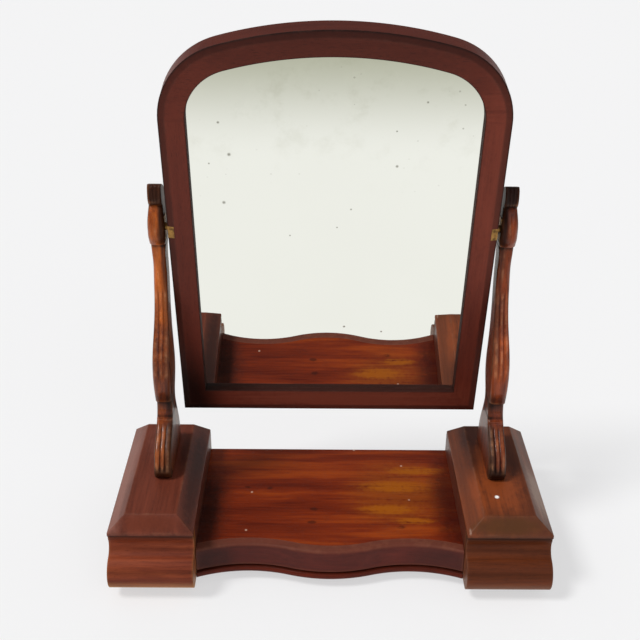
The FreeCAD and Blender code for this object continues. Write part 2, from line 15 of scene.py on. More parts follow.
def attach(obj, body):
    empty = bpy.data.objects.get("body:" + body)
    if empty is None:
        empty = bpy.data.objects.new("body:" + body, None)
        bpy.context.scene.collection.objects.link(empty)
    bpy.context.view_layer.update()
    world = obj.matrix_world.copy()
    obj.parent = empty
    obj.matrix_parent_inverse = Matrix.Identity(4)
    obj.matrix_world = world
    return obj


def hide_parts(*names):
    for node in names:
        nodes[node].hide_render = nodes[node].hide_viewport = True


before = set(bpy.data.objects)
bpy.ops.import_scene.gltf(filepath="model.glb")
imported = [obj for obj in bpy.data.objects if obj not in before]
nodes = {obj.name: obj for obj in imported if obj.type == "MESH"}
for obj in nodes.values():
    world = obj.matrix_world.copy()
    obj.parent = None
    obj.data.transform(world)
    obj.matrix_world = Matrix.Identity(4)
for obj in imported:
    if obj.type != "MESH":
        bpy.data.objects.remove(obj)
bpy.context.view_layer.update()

MM = 0.001

# -------- sizes of the model
MIDDLE_Y = 5.548            # middle of the lids, behind the middle of the whole
PLINTH_OUTER = 280.0        # middle of the whole to a plinth's outer face
PLINTH_INNER = 172.0        # middle of the whole to a plinth's inner face
LID_FRONT = -117.5 + MIDDLE_Y
LID_BACK = 117.5 + MIDDLE_Y
LID_SLOPE = (21.5, 15.5)    # plan width of the sloping border at the sides, and at front and back
BOX_LOW = 14.0              # underside of the plinths
BOX_TOP = 86.0              # underside of the lids
LID_EDGE_TOP = 91.0
LID_TOP = 110.0
CARCASS_FRONT = LID_FRONT + 20.0
SHELF_TOP = 57.0
PIVOT_Y = 62.5 + MIDDLE_Y
PIVOT_Z = 431.0
POST_X = 220.0
POST_WIDTH = 23.0
REST_TILT = math.radians(10.0)
FRAME_HALF = 205.0          # half the width of the mirror's frame
FRAME_BELOW = 294.5         # pivot to the frame's foot
FRAME_ABOVE = 260.5         # pivot to the crown of its arch
FRAME_FACE = -15.5          # front and back of the frame, from the pivot
FRAME_BACK = 15.5
CROWN = 500.0               # outer radii of the arch
SHOULDER = 95.5
STILE = 32.0                # widths of the frame's members
BOTTOM_RAIL = 35.0
ARCH_RAIL = 30.6
SIDES = (("left", -1), ("right", 1))


# -------- shape helpers
def smooth(share):
    """Runs from 0 to 1 with level ends: 3 s^2 - 2 s^3."""
    share = np.clip(share, 0.0, 1.0)
    return share * share * (3.0 - 2.0 * share)


def hump(value, middle, spread):
    """A bell of height 1 about the middle: exp(-((v - m) / spread)^2)."""
    return np.exp(-((value - middle) / spread) ** 2)


def through(wanted, places, values):
    """A natural cubic curve through the values: the slopes of its bends solve a three-band system."""
    places = np.asarray(places, float)
    values = np.asarray(values, float)
    gap = np.diff(places)
    count = len(places)
    bands = np.eye(count)
    right = np.zeros(count)
    inner = np.arange(1, count - 1)
    bands[inner, inner - 1] = gap[:-1]
    bands[inner, inner] = 2 * (gap[:-1] + gap[1:])
    bands[inner, inner + 1] = gap[1:]
    right[1:-1] = 6 * np.diff(np.diff(values) / gap)
    bend = np.linalg.solve(bands, right)
    k = np.clip(np.searchsorted(places, wanted) - 1, 0, count - 2)
    a = (places[k + 1] - wanted) / gap[k]
    b = 1.0 - a
    cubic = ((a ** 3 - a) * bend[k] + (b ** 3 - b) * bend[k + 1]) * gap[k] ** 2 / 6
    return a * values[k] + b * values[k + 1] + cubic


def blunt(before, corner, after, radius, count):
    """Corners rounded as parabolas of so many points, each leaving its two sides one radius from the
    corner: (1 - s)^2 start + 2 s (1 - s) corner + s^2 end."""
    before, corner, after = (np.asarray(p, float) for p in (before, corner, after))
    back = before - corner
    on = after - corner
    start = corner + back / np.linalg.norm(back, axis=-1, keepdims=True) * radius
    end = corner + on / np.linalg.norm(on, axis=-1, keepdims=True) * radius
    start, corner, end = (p[..., None, :] for p in (start, corner, end))
    s = np.linspace(0, 1, count)[:, None]
    return (1 - s) ** 2 * start + 2 * s * (1 - s) * corner + s ** 2 * end


def eased(corners, radii, flats, rounds, worn):
    """A closed outline whose corners are rounded, and how near each of its points is to a corner.

    Each corner has as many points as the rounds say. Each side between has as many as the flats
    say, closer together towards its ends. Nearness is exp(-(distance / worn)^2).
    """
    corner = np.asarray(corners, float)
    radius = np.asarray(radii, float)[:, None]
    bend = blunt(np.roll(corner, 1, 0), corner, np.roll(corner, -1, 0), radius, rounds)
    t = (1 - np.cos(np.pi * np.arange(1, flats + 1) / (flats + 1))) / 2
    t = t[None, :, None]
    side = (1 - t) * bend[:, -1:] + t * np.roll(bend[:, :1], -1, 0)
    outline = np.concatenate([bend, side], 1).reshape(-1, 2)
    distance = np.linalg.norm(outline[:, None] - corner[None], axis=2).min(1)
    return outline, np.exp(-(distance / worn) ** 2)


def inward(outline):
    """Unit normals of a closed outline, turned towards its inside."""
    along = np.roll(outline, -1, 0) - np.roll(outline, 1, 0)
    along /= np.maximum(np.linalg.norm(along, axis=1, keepdims=True), 1e-9)
    x = outline[:, 0]
    y = outline[:, 1]
    turn = np.sign(np.sum(x * np.roll(y, -1) - np.roll(x, -1) * y))
    return np.stack([-along[:, 1], along[:, 0]], 1) * turn


def added(name, data):
    """A new object in the scene."""
    made = bpy.data.objects.new(name, data)
    bpy.context.scene.collection.objects.link(made)
    return made


def make(name, rings, wear_and_highlight, hollow, crease):
    """A closed skin over rings of points, all alike in number: a four-sided face between neighbours
    along and around, and one face over each end. Two values are kept with the points: how pale a point
    is painted, for rubbing and for painted highlight, and how dark, mostly for painted shade. An edge
    sharper than the crease, in degrees, stays sharp."""
    rows, around = rings.shape[:2]
    index = np.arange(rows * around).reshape(rows, around)
    low = index[:-1]
    high = index[1:]
    quads = np.stack([low, np.roll(low, -1, 1), np.roll(high, -1, 1), high], -1).reshape(-1, 4)
    faces = quads.tolist() + [index[0, ::-1].tolist(), index[-1].tolist()]
    mesh = bpy.data.meshes.new(name)
    mesh.from_pydata((rings.reshape(-1, 3) * MM).tolist(), [], faces)
    for label, values in (("wear_and_highlight", wear_and_highlight), ("hollow", hollow)):
        layer = mesh.attributes.new(label, "FLOAT", "POINT")
        whole = np.broadcast_to(values, (rows, around)).astype(np.float32)
        layer.data.foreach_set("value", np.ascontiguousarray(whole).ravel())
    work = bmesh.new()
    work.from_mesh(mesh)
    bmesh.ops.recalc_face_normals(work, faces=work.faces)
    work.to_mesh(mesh)
    work.free()
    mesh.shade_smooth()
    mesh.set_sharp_from_angle(angle=math.radians(crease))
    return added(name, mesh)


def fit(piece, body, slot, finish, *stands_for):
    """Gives a piece its finish and its body, and hides the nodes that it stands for. The slot is not
    used.
    """
    piece.data.materials.append(finish)
    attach(piece, body)
    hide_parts(*stands_for)


# -------- shader helpers
def paint(red, green, blue):
    """A colour as it looks on a screen, 0 to 255, as the light it stands for."""
    shares = [v / 255 for v in (red, green, blue)]
    return tuple(v / 12.92 if v <= 0.04045 else ((v + 0.055) / 1.055) ** 2.4 for v in shares) + (1.0,)


class Value:
    """One output of a material's nodes. Arithmetic on it adds the Math nodes it needs."""

    def __init__(self, finish, socket):
        self.finish = finish
        self.socket = socket

    def math(self, operation, *terms, **settings):
        sockets = {place: term for place, term in enumerate(terms)}
        return self.finish.node("Math", sockets, operation=operation, **settings)

    def __add__(self, other):
        return self.math("ADD", self, other)

    def __sub__(self, other):
        return self.math("SUBTRACT", self, other)

    def __rsub__(self, other):
        return self.math("SUBTRACT", other, self)

    def __mul__(self, other):
        return self.math("MULTIPLY", self, other)

    def held(self):
        """The value kept between 0 and 1."""
        return self.math("ADD", self, 0.0, use_clamp=True)

    def above(self, low, high):
        """0 below the first limit, 1 above the second, smooth between."""
        sockets = {0: self, 1: low, 2: high}
        return self.finish.node("MapRange", sockets, interpolation_type="SMOOTHSTEP")

    def larger(self, other):
        return self.math("MAXIMUM", self, other)

    def output(self, name):
        return Value(self.finish, self.socket.node.outputs[name])


class Finish:
    """A material or world while its nodes are being put together."""

    def __init__(self, tree):
        self.tree = tree
        self.tree.nodes.clear()

    def node(self, kind, sockets=None, **settings):
        """Adds a node: first its settings, then the values or links of its sockets."""
        made = self.tree.nodes.new("ShaderNode" + kind)
        for key, setting in settings.items():
            setattr(made, key, setting)
        for key, given in (sockets or {}).items():
            target = made.inputs[key]
            if isinstance(given, Value):
                self.tree.links.new(given.socket, target)
            else:
                target.default_value = given
        live = [socket for socket in made.outputs if socket.enabled]
        return Value(self, (live or made.outputs)[0]) if len(made.outputs) else made

    def place(self, turn=(0, 0, 0), shift=(0, 0, 0)):
        """The piece's own coordinates, turned and shifted."""
        own = self.node("TexCoord").output("Object")
        return self.node("Mapping", {"Vector": own, "Location": shift, "Rotation": turn})

    def stretch(self, vector, factors):
        return self.node("VectorMath", {0: vector, 1: factors}, operation="MULTIPLY")

    def noise(self, vector, scale=1.0, detail=3.0, rough=0.55, bend=0.0):
        return self.node("TexNoise", {
            "Vector": vector, "Scale": scale, "Detail": detail, "Roughness": rough,
            "Distortion": bend,
        })

    def kept(self, name):
        """A value kept with the points of a shaped piece; 0 on other pieces."""
        return self.node("Attribute", attribute_name=name).output(2)

    def mix(self, share, one, other):
        """Between two colours by a share."""
        return self.node("Mix", {0: share, 6: one, 7: other}, data_type="RGBA").output(2)

    def bump(self, height, depth):
        return self.node("Bump", {"Height": height, "Distance": depth, "Strength": 1.0})

    def patch(self, vector, centre, size):
        """1 at a centre, falling evenly to 0 at the edge of an egg-shaped patch of the given half
        sizes."""
        apart = self.node("VectorMath", {0: vector, 1: centre}, operation="SUBTRACT")
        apart = self.stretch(apart, [1 / s for s in size])
        length = self.node("VectorMath", {0: apart}, operation="LENGTH").output("Value")
        return (1 - length).held()


def material(name):
    made = bpy.data.materials.new(name)
    made.use_nodes = True
    return made, Finish(made.node_tree)


def close(finish, shader):
    """Ends a material in a shader."""
    finish.node("OutputMaterial", {"Surface": shader})


def skin(finish, sockets):
    """Ends a material in the common shader of solid things."""
    close(finish, finish.node("BsdfPrincipled", sockets))


# -------- finishes
# Turns that lay a wood's grain along a direction.
ALONG_X = (0.0, 0.0, 0.0)
ALONG_Y = (0.0, 0.0, math.radians(-90))
ALONG_Z = (0.0, math.radians(90), 0.0)
ALONG_RAIL = (-REST_TILT, 0.0, 0.0)
ALONG_STILE = (-REST_TILT, math.radians(90), 0.0)
# How fast each layer of a wood's figure changes along and across its grain, per metre.
CLOUDS = (3.5, 20, 20)
BANDS = (6, 75, 75)
STREAKS = (13, 300, 300)
FIBRES = (45, 1400, 1400)
PORES = (130, 2100, 2100)


def timber(name, pale, deep, turn, shift=(0, 0, 0), gloss=0.42, coat=0.04, coat_gloss=0.16,
           contrast=3.4, glow=None, glowing=0.6, worn=(150, 105, 80), wear=0.25, even=0.15, shine=0.3,
           marks=()):
    """Polished wood with its grain along one direction: broad clouds, bands, narrow streaks, fibres
    and open pores. It is painted darker where a piece's points are marked dark, mostly painted shade,
    and paler along its edges where they are marked pale, which is rubbing and, on the posts and the
    rail, painted highlight. Even is how far the paler edges go without gaps. A mark is an egg-shaped
    patch: its centre and half sizes in metres, its strength, its colour and how ragged its edge is;
    some marks are painted shade and painted reflections."""
    made, f = material(name)
    own = f.place()
    grain = f.place(turn, shift)
    clouds = f.noise(f.stretch(grain, CLOUDS), 1.0, 3.0, 0.5, 0.6)
    bands = f.noise(f.stretch(grain, BANDS), 1.0, 4.0, 0.6, 0.6)
    streaks = f.noise(f.stretch(grain, STREAKS), 1.0, 3.0, 0.6)
    fibres = f.noise(f.stretch(grain, FIBRES), 1.0, 2.0, 0.6)
    pores = f.noise(f.stretch(grain, PORES), 1.0, 1.0, 0.5).above(0.6, 0.7)
    tone = clouds * 0.34 + bands * 0.34 + streaks * 0.22 + fibres * 0.1
    tone = ((tone - 0.5) * contrast + 0.5).held()
    colour = f.mix(tone, paint(*deep), paint(*pale))
    if glow is not None:
        warm = clouds * 0.5 + bands * 0.5
        colour = f.mix(warm.above(0.48, 0.66) * glowing, colour, paint(*glow))
    colour = f.mix(pores * 0.4, colour, paint(*[v * 0.45 for v in deep]))
    if marks:
        uneven = f.noise(own, 140.0, 3.0) + bands + streaks - 1.5
    # Marks: stains, chips and patches of tone, and on some pieces painted shade and painted
    # reflections.
    for centre, size, strength, shade, ragged in marks:
        edge = f.patch(own, centre, size) * (uneven * ragged * 2 + 1)
        colour = f.mix(edge.above(0.02, 0.75) * strength, colour, paint(*shade))
    # Painted shade where a piece's points are marked dark.
    hollow = f.kept("hollow").held()
    colour = f.mix(hollow * 0.9, colour, paint(*[v * 0.16 for v in deep]))
    # Paler where a piece's points are marked pale: rubbing, and on the posts and the rail painted
    # highlight.
    patchy = f.noise(own, 60.0, 4.0, 0.65).above(0.42, 0.72)
    rubbed_and_highlit = (f.kept("wear_and_highlight") * (patchy * (1 - even) + even) * wear).held()
    colour = f.mix(rubbed_and_highlit, colour, paint(*worn))
    handled = f.noise(own, 22.0, 4.0, 0.6)
    rough = handled * 0.14 + fibres * 0.06 + rubbed_and_highlit * 0.2 + hollow * 0.2 + (gloss - 0.1)
    height = fibres * 0.35 + streaks * 0.25 - pores * 0.6
    skin(f, {
        "Base Color": colour, "Roughness": rough, "Normal": f.bump(height, 0.0001),
        "Specular IOR Level": shine, "Coat Weight": (coat - (rubbed_and_highlit + hollow) * coat).held(),
        "Coat Roughness": coat_gloss, "Coat IOR": 1.4,
    })
    return made


def bare_wood(name, pale, deep, turn):
    """Unpolished wood, dull and a little dusty."""
    return timber(name, pale, deep, turn, gloss=0.7, coat=0.0, contrast=1.8, wear=0.2, shine=0.2)


def metal(name, bright, dull, rough, tarnish):
    """Old metal: brushed, with dull tarnish in patches."""
    made, f = material(name)
    own = f.place()
    cloud = f.noise(own, 130.0, 4.0, 0.6).above(0.38, 0.68)
    fine = f.noise(f.stretch(own, (1, 1, 9)), 900.0, 2.0)
    colour = f.mix(cloud * tarnish, paint(*bright), paint(*dull))
    skin(f, {
        "Base Color": colour, "Metallic": 1 - cloud * 0.25,
        "Roughness": fine * 0.12 + cloud * 0.2 + rough, "Normal": f.bump(fine, 0.00004),
    })
    return made


SPECK_DEPTH = 0.012         # metres behind and in front of a speck's centre, through the glass


def silvered_glass(name, specks):
    """Old silvered glass: a little wavy and warm, clouded towards its top, with small dark specks
    where the silver has gone. Heights are in metres, and a speck is its centre and its radius."""
    made, f = material(name)
    own = f.place()
    tint = f.noise(own, 5.0, 3.0)
    colour = f.mix(tint, paint(244, 245, 240), paint(249, 250, 246))
    height = f.node("SeparateXYZ", {0: own}).output("Z")
    bloom = f.noise(own, 34.0, 5.0, 0.7).above(0.5, 0.78) * height.above(0.5, 0.64)
    colour = f.mix(bloom * 0.5, colour, paint(252, 253, 248))
    dim = f.noise(own, 21.0, 4.0, 0.65).above(0.5, 0.8) * height.above(0.46, 0.62)
    colour = f.mix(dim * 0.4, colour, paint(205, 205, 190))
    cells = f.node("TexVoronoi", {"Vector": own, "Scale": 74.0}).output("Distance")
    chosen = f.noise(own, 14.0, 2.0).above(0.46, 0.6) * height.above(0.45, 0.58)
    spots = (1 - cells.above(0.05, 0.12)) * chosen * 0.55
    for centre, size in specks:
        speck = f.patch(own, centre, (size, SPECK_DEPTH, size))
        spots = spots.larger(speck.above(0.1, 0.8))
    colour = f.mix(spots * 0.62, colour, paint(104, 98, 84))
    skin(f, {
        "Base Color": colour, "Metallic": 1.0, "Roughness": spots * 0.3 + bloom * 0.06 + 0.01,
        "Normal": f.bump(f.noise(own, 6.0, 1.0), 0.0002),
    })
    return made


# Colours are as they look on a screen, 0 to 255.
FRAME_WOOD = dict(pale=(126, 54, 38), deep=(86, 33, 23), gloss=0.44, coat_gloss=0.3, contrast=2.6,
                  worn=(120, 82, 70), wear=0.12, shine=0.16)
# The posts' worn colour is mostly a painted highlight: on the reeds, down the shaft and on the drop.
LEFT_POST_WOOD = dict(pale=(188, 90, 30), deep=(84, 30, 11), glow=(214, 114, 38), gloss=0.26,
                      coat=0.45, coat_gloss=0.06, contrast=3.8, worn=(222, 158, 112), wear=0.6,
                      shine=0.2)
RIGHT_POST_WOOD = dict(LEFT_POST_WOOD, pale=(162, 70, 30), deep=(74, 25, 13), glow=(184, 86, 34))
LEFT_LID_WOOD = dict(pale=(124, 60, 42), deep=(80, 36, 25), coat_gloss=0.2, shine=0.18)
RIGHT_LID_WOOD = dict(LEFT_LID_WOOD, pale=(118, 60, 34), deep=(70, 32, 18), glow=(138, 66, 30),
                      contrast=2.6, shine=0.2)
LEFT_FRONT_WOOD = dict(pale=(144, 66, 38), deep=(82, 30, 17), glow=(152, 74, 40), glowing=0.4,
                       gloss=0.44, coat_gloss=0.25, contrast=4.0, worn=(186, 132, 74), wear=0.95,
                       even=0.7, shine=0.14)
RIGHT_FRONT_WOOD = dict(LEFT_FRONT_WOOD, pale=(118, 56, 25), deep=(70, 30, 12), glow=(128, 64, 26),
                        contrast=2.8, worn=(132, 96, 72), wear=0.6)
CARCASS_WOOD = dict(pale=(104, 50, 32), deep=(64, 29, 20), gloss=0.45, coat=0.12)
# The rail's worn colour is partly painted light on its top.
RAIL_WOOD = dict(pale=(102, 40, 31), deep=(64, 22, 18), coat_gloss=0.25, worn=(140, 86, 64),
                 wear=0.6, even=0.6, shine=0.14)
SHELF_WOOD = dict(pale=(146, 52, 14), deep=(78, 19, 6), glow=(158, 70, 12), glowing=0.55,
                  coat=0.06, coat_gloss=0.24, contrast=3.6, shine=0.12)

SPECKS = [
    ((-0.1248, 0.0439, 0.5332), 0.0035), ((-0.1339, 0.0553, 0.4685), 0.0035),
    ((0.0751, 0.0464, 0.5193), 0.0029), ((0.1059, 0.0320, 0.6009), 0.0022),
    ((-0.1357, 0.0367, 0.5740), 0.0026), ((0.0725, 0.0384, 0.5646), 0.0018),
    ((0.0051, 0.0614, 0.4343), 0.0018), ((-0.0535, 0.0635, 0.4222), 0.0018),
    ((0.0218, 0.0568, 0.4601), 0.0020), ((0.0176, 0.0884, 0.2808), 0.0026),
    ((-0.1492, 0.0460, 0.5212), 0.0018), ((0.0676, 0.0898, 0.2729), 0.0022),
]
glass = silvered_glass("silvered_glass", SPECKS)
brass = metal("aged_brass", (172, 130, 74), (88, 62, 34), 0.34, 0.9)
steel = metal("dull_steel", (150, 148, 142), (84, 78, 72), 0.38, 0.7)


def own_finish(node, finish):
    """Puts a finish on a node of the model, in each of its material slots."""
    piece = nodes[node]
    if not piece.material_slots:
        piece.data.materials.append(finish)
    for slot in piece.material_slots:
        slot.material = finish


# -------- posts
# The side view, from the foot up: (y from the pivot's line, height over the lid).
TOE = [(-89.5, 0), (-94, 5), (-95, 14), (-90, 27), (-77.5, 41), (-58.5, 54), (-45.5, 66)]
NECK = [(-45.5, 66), (-42, 77), (-41.5, 90)]
KNEE_AND_SHAFT = [
    (-49.5, 92.5), (-53, 108), (-53, 128), (-48.5, 147), (-38.5, 167), (-24.5, 189), (-15.5, 210),
    (-9.5, 235), (-5.5, 262), (-4, 282), (-3.5, 297),
]
DROP = [(-12.5, 300.5), (-17, 308), (-17.5, 320), (-14, 332), (-7, 344), (-3, 349)]
HEAD = [(-6.5, 353), (-8.2, 357), (-8.5, 361)]
REAR = [
    (12.5, 0), (10.5, 24), (3.5, 46), (-4.5, 66), (-7.5, 86), (-1.5, 104), (3.5, 128), (4, 155),
    (8.5, 185), (16.5, 215), (21.5, 243), (24, 270), (26, 300), (26.5, 325), (25, 343), (23.5, 359),
]
# (height, how much narrower than the widest) and (height, radius of the rounded front).
WAIST = [
    (0, 1), (40, 1), (62, 2), (88, 2.5), (108, 1), (140, 0), (175, 2.5), (215, 5.5), (260, 6),
    (290, 5.5), (302, 3), (318, 1.5), (334, 2.5), (349, 5.5), (360, 6), (380, 6),
]
ROUNDING = [(0, 4.5), (60, 4.0), (75, 4.0), (100, 7.0), (128, 7.5), (150, 4.5), (230, 4.0),
            (270, 6.0), (296, 5.0), (303, 9.5), (325, 9.0), (345, 5.0), (355, 2.5), (380, 2.5)]
REEDS = [(10, 62, 1.7, 2, 6.0), (128, 240, 1.3, 2, 5.6)]    # from, to, depth, count, pitch
PROUD_BANDS = [(64.0, 1.0, 1.5), (298.2, 0.9, 1.0)]         # height, how far proud, spread
DROP_LOW = 303.0
DROP_HIGH = 347.0
HEAD_LOW = 352.0
HEAD_SPRING = 361.0
HEAD_TOP = 376.4
RUN_POINTS = 80             # points along each curve of the front line
FRONT_POINTS = 81           # points of a ring across the carved front
HEAD_RINGS = 22             # rings of the rounded head
RING_STEP = 1.25
FINE_RINGS = [(61, 68, 0.4), (88, 94, 0.35), (295, 303, 0.35), (347, 355, 0.5)]    # from, to, step
RUBBED_LEDGES = [(93.5, 1.6), (302, 1.6), (355, 1.4), (64, 1.2)]    # height, spread
# painted shade in the lines beside the ledges: height, spread
SHADED_LEDGES = [(68, 2.0), (88.5, 2.2), (295.5, 2.0), (350.5, 2.0)]


def post_lines(height):
    """Front and rear lines of the scroll's side view: cubic curves joined by short straight ledges.

    Both close over the top of the head, the front from its spring line and the rear from a little
    lower: the front as the square root of a cosine, the rear as a cosine to the power 1.6, each of
    an angle that rises to 90 degrees.
    """
    front_h = []
    front_y = []
    for run in (TOE, NECK, KNEE_AND_SHAFT, DROP, HEAD):
        y, h = np.array(run, float).T
        steps = np.linspace(h[0], h[-1], RUN_POINTS)
        front_h.append(steps)
        front_y.append(through(steps, h, y))
    front = np.interp(height, np.concatenate(front_h), np.concatenate(front_y))
    y, h = np.array(REAR, float).T
    rear = through(np.minimum(height, h[-1]), h, y)
    over = np.arcsin(np.clip((height - HEAD_SPRING) / (HEAD_TOP - HEAD_SPRING), 0, 1))
    front = np.where(height > HEAD_SPRING, HEAD[-1][0] * np.sqrt(np.cos(over)), front)
    over = np.arcsin(np.clip((height - h[-1]) / (HEAD_TOP - h[-1]), 0, 1))
    rear = np.where(height > h[-1], y[-1] * np.cos(over) ** 1.6, rear)
    return front, rear


def carving(x, height, half):
    """Depth of the carving on the front: reeds, head flutes, the drop's veins and the small bands.

    A reed is a half round between two grooves, 1 - sqrt(1 - s^2) with s from -1 to 1 across it. A
    flute is the same turned inside out.
    """
    depth = np.zeros(np.broadcast(x, height).shape)
    for low, high, deep, count, pitch in REEDS:
        fade = smooth((height - low) / 9) * smooth((high - height) / 9)
        outer = (count - 1) / 2 * pitch
        inside = 2 * np.mod((x + outer) / pitch, 1.0) - 1
        outside = 2 * np.clip((np.abs(x) - outer) / (half - outer), 0, 1) - 1
        across = np.where(np.abs(x) < outer, inside, outside)
        depth += deep * fade * (1 - np.sqrt(np.maximum(1 - across ** 2, 0)))
    pitch = 3.2 + (height - HEAD_LOW) * 0.07
    across = 2 * np.mod(x / pitch + 0.5, 1.0) - 1
    flute = np.sqrt(np.maximum(1 - across ** 2, 0)) * (np.abs(x) < pitch * 1.5)
    depth += 0.9 * flute * smooth((height - HEAD_LOW + 1) / 4)
    leaf = smooth((height - DROP_LOW) / 5) * smooth((DROP_HIGH - height) / 12)
    depth += 0.35 * leaf * hump(x, 0, 1.2)
    side_vein = 2.2 + (height - DROP_LOW) * 0.11
    depth += 0.25 * leaf * hump(np.abs(x), side_vein, 1.1)
    for middle, proud, spread in PROUD_BANDS:
        depth -= proud * hump(height, middle, spread)
    return depth


def post_wear_and_painted_light(side, height, half, x, y, cut):
    """How pale and how dark each point of a post is painted, both from 0 to 1.

    Corners and ledges are worn pale. The top of each reed, a streak down the shaft and the middle of
    the drop are painted highlights. The darkening in the cuts, in the lines beside the ledges, on the
    toe, the neck, the head and the flanks is painted shade. The carved front's points come first in
    each ring.
    """
    front = cut.shape[1]
    foremost = y[:, :front].min(1, keepdims=True)
    ledges = sum(hump(height, h, s) for h, s in RUBBED_LEDGES)
    corner = hump(np.abs(x), half, 2.2) * hump(y, foremost, 14)
    reeded = sum(smooth((height - r[0]) / 9) * smooth((r[1] - height) / 9) for r in REEDS)
    # Painted highlights: on the top of each reed, down the shaft and on the middle of the drop.
    painted_highlights = 0.6 * np.exp(-(cut / 0.16) ** 2) * reeded
    painted_highlights += 0.45 * hump(x[:, :front], -0.25 * half, 1.5) * hump(height, 268, 26)
    painted_highlights += 0.8 * hump(x[:, :front], -0.5, 1.3) * hump(height, 322, 9)
    wear_and_highlight = np.clip(0.24 * corner + 0.2 * ledges, 0, 1)
    wear_and_highlight[:, :front] = np.maximum(wear_and_highlight[:, :front], np.clip(painted_highlights, 0, 1))

    # Painted shade in the lines beside the ledges, in the cuts, on the toe, neck, head and flanks.
    painted_shade = sum(hump(height, h, s) for h, s in SHADED_LEDGES)
    in_front = np.zeros_like(x)
    in_front[:, :front] = np.clip(cut / 1.6, 0, 1) ** 1.5
    shaded = 0.9 * smooth((24 - height) / 12) + 0.45 * smooth((66 - height) / 10)
    shaded += 0.7 * hump(height, 86, 8) + 0.6 * hump(height, 100, 7)
    shaded = shaded + 0.55 * smooth((height - HEAD_LOW) / 4) * hump(x, 1.0, 5)
    inner_side = -side * x / half
    flank = smooth((inner_side - 0.1) / 0.5) + smooth((-inner_side - 0.82) / 0.18)
    flank = flank * (0.6 + 0.2 * smooth((height - 300) / 4)) * (1 - 0.5 * hump(height, 130, 60))
    head = 0.5 * smooth((height - HEAD_LOW + 3) / 4) + 0.2 * smooth((height - 300) / 4)
    facing = hump(y, foremost, 12)
    hollow = np.clip(in_front + 0.6 * painted_shade + 0.85 * facing * shaded + flank + head, 0, 1)
    return wear_and_highlight, hollow


def post(name, side):
    """The scroll as level rings: a rounded front with its carving, flat sides and an eased back.

    Across the front, x is the half width times the sine of an angle, and y falls back over the
    rounding radius r by r - sqrt(r^2 - (|x| - half + r)^2).
    """
    height = np.unique(np.concatenate([
        np.arange(0, HEAD_SPRING, RING_STEP), *(np.arange(*band) for band in FINE_RINGS),
        HEAD_SPRING + (HEAD_TOP - HEAD_SPRING) * np.sin(np.linspace(0, 1.5, HEAD_RINGS)),
    ]))[:, None]
    front, rear = post_lines(height)
    half = (POST_WIDTH - through(height, *zip(*WAIST))) / 2
    depth = rear - front
    ease = np.minimum(through(height, *zip(*ROUNDING)), 0.45 * depth)
    ease = np.minimum(ease, half)
    back_ease = np.minimum(2.0, 0.3 * depth)
    sweep = np.sin(np.linspace(-math.pi / 2, math.pi / 2, FRONT_POINTS))[None, :]

    def fall(x, radius):
        into = np.clip((np.abs(x) - half + radius) / radius, 0, 1)
        return radius * (1 - np.sqrt(1 - into ** 2))

    x_front = half * sweep
    cut = carving(x_front, height, half) * np.minimum(1.0, depth / 12)
    y_front = front + fall(x_front, ease) + cut
    x_back = -half * sweep[:, ::6]
    y_back = rear - fall(x_back, back_ease)
    share = np.linspace(0, 1, 14)[None, 1:-1]
    y_right = y_front[:, -1:] + (y_back[:, :1] - y_front[:, -1:]) * share
    y_left = y_back[:, -1:] + (y_front[:, :1] - y_back[:, -1:]) * share
    x_side = half * np.ones_like(share)
    x = np.concatenate([x_front, x_side, x_back, -x_side], 1)
    y = np.concatenate([y_front, y_right, y_back, y_left], 1)
    z = np.broadcast_to(height, x.shape)
    rings = np.stack([x + side * POST_X, y + PIVOT_Y, z + LID_TOP], -1)
    wear_and_highlight, hollow = post_wear_and_painted_light(side, height, half, x, y, cut)
    return make(name, rings, wear_and_highlight, hollow, crease=60)


POST_WOODS = {"left": LEFT_POST_WOOD, "right": RIGHT_POST_WOOD}
for label, side in SIDES:
    grain_shift = (0.3 * side, 0.1, 0.0)
    finish = timber(label + "_post_mahogany", turn=ALONG_Z, shift=grain_shift, **POST_WOODS[label])
    fit(post(label + "_scroll_post", side), "stand", "post_mahogany", finish, label + "_post")


# -------- mirror frame
EDGE_SLOPE = (8.5, 1.8)     # the face's sloping outer border: its width and its fall
LIP = 8.0                   # thickness of the lip in front of the glass
GLASS_REBATE = 6.0          # width of the ledge that the glass lies on
BACKBOARD_REBATE = 12.0     # width of the two ledges together
BACKBOARD_FACE = 9.5        # front of the backboard, from the pivot
NOTCH_DEPTH = 8.0           # how far the pivot blocks are let into the stiles
NOTCH_BACK = 8.0            # back of the notches, from the pivot
NOTCH_HALF = 8.25           # half the height of the notches
NOTCH_WALL = 0.02           # height within which a notch's end wall falls


def from_upright(x, y, z):
    """Points of the upright mirror, about its pivot, as they stand at the rest tilt."""
    cos = math.cos(REST_TILT)
    sin = math.sin(REST_TILT)
    return np.stack([x, y * cos - z * sin + PIVOT_Y, y * sin + z * cos + PIVOT_Z], -1)


def springing(half, crown, shoulder, above):
    """Height at which a shoulder arc leaves the upright side."""
    return above - crown + math.sqrt((crown - shoulder) ** 2 - (half - shoulder) ** 2)


def arch_line(half, crown, shoulder, above, start):
    """Right half of an arched line from its springing to the crown: an upright start, a shoulder arc
    and a crown arc, x = centre + radius cos(angle), z = centre + radius sin(angle)."""
    centre_x = half - shoulder
    centre_z = springing(half, crown, shoulder, above)
    meet = math.atan2(centre_z - above + crown, centre_x)
    bend = np.linspace(0, meet, 18)
    over = np.linspace(meet, math.pi / 2, 26)[1:]
    x = np.concatenate([[half], centre_x + shoulder * np.cos(bend), crown * np.cos(over)])
    z = np.concatenate([
        [start], centre_z + shoulder * np.sin(bend), above - crown + crown * np.sin(over),
    ])
    return np.stack([x, z], 1)


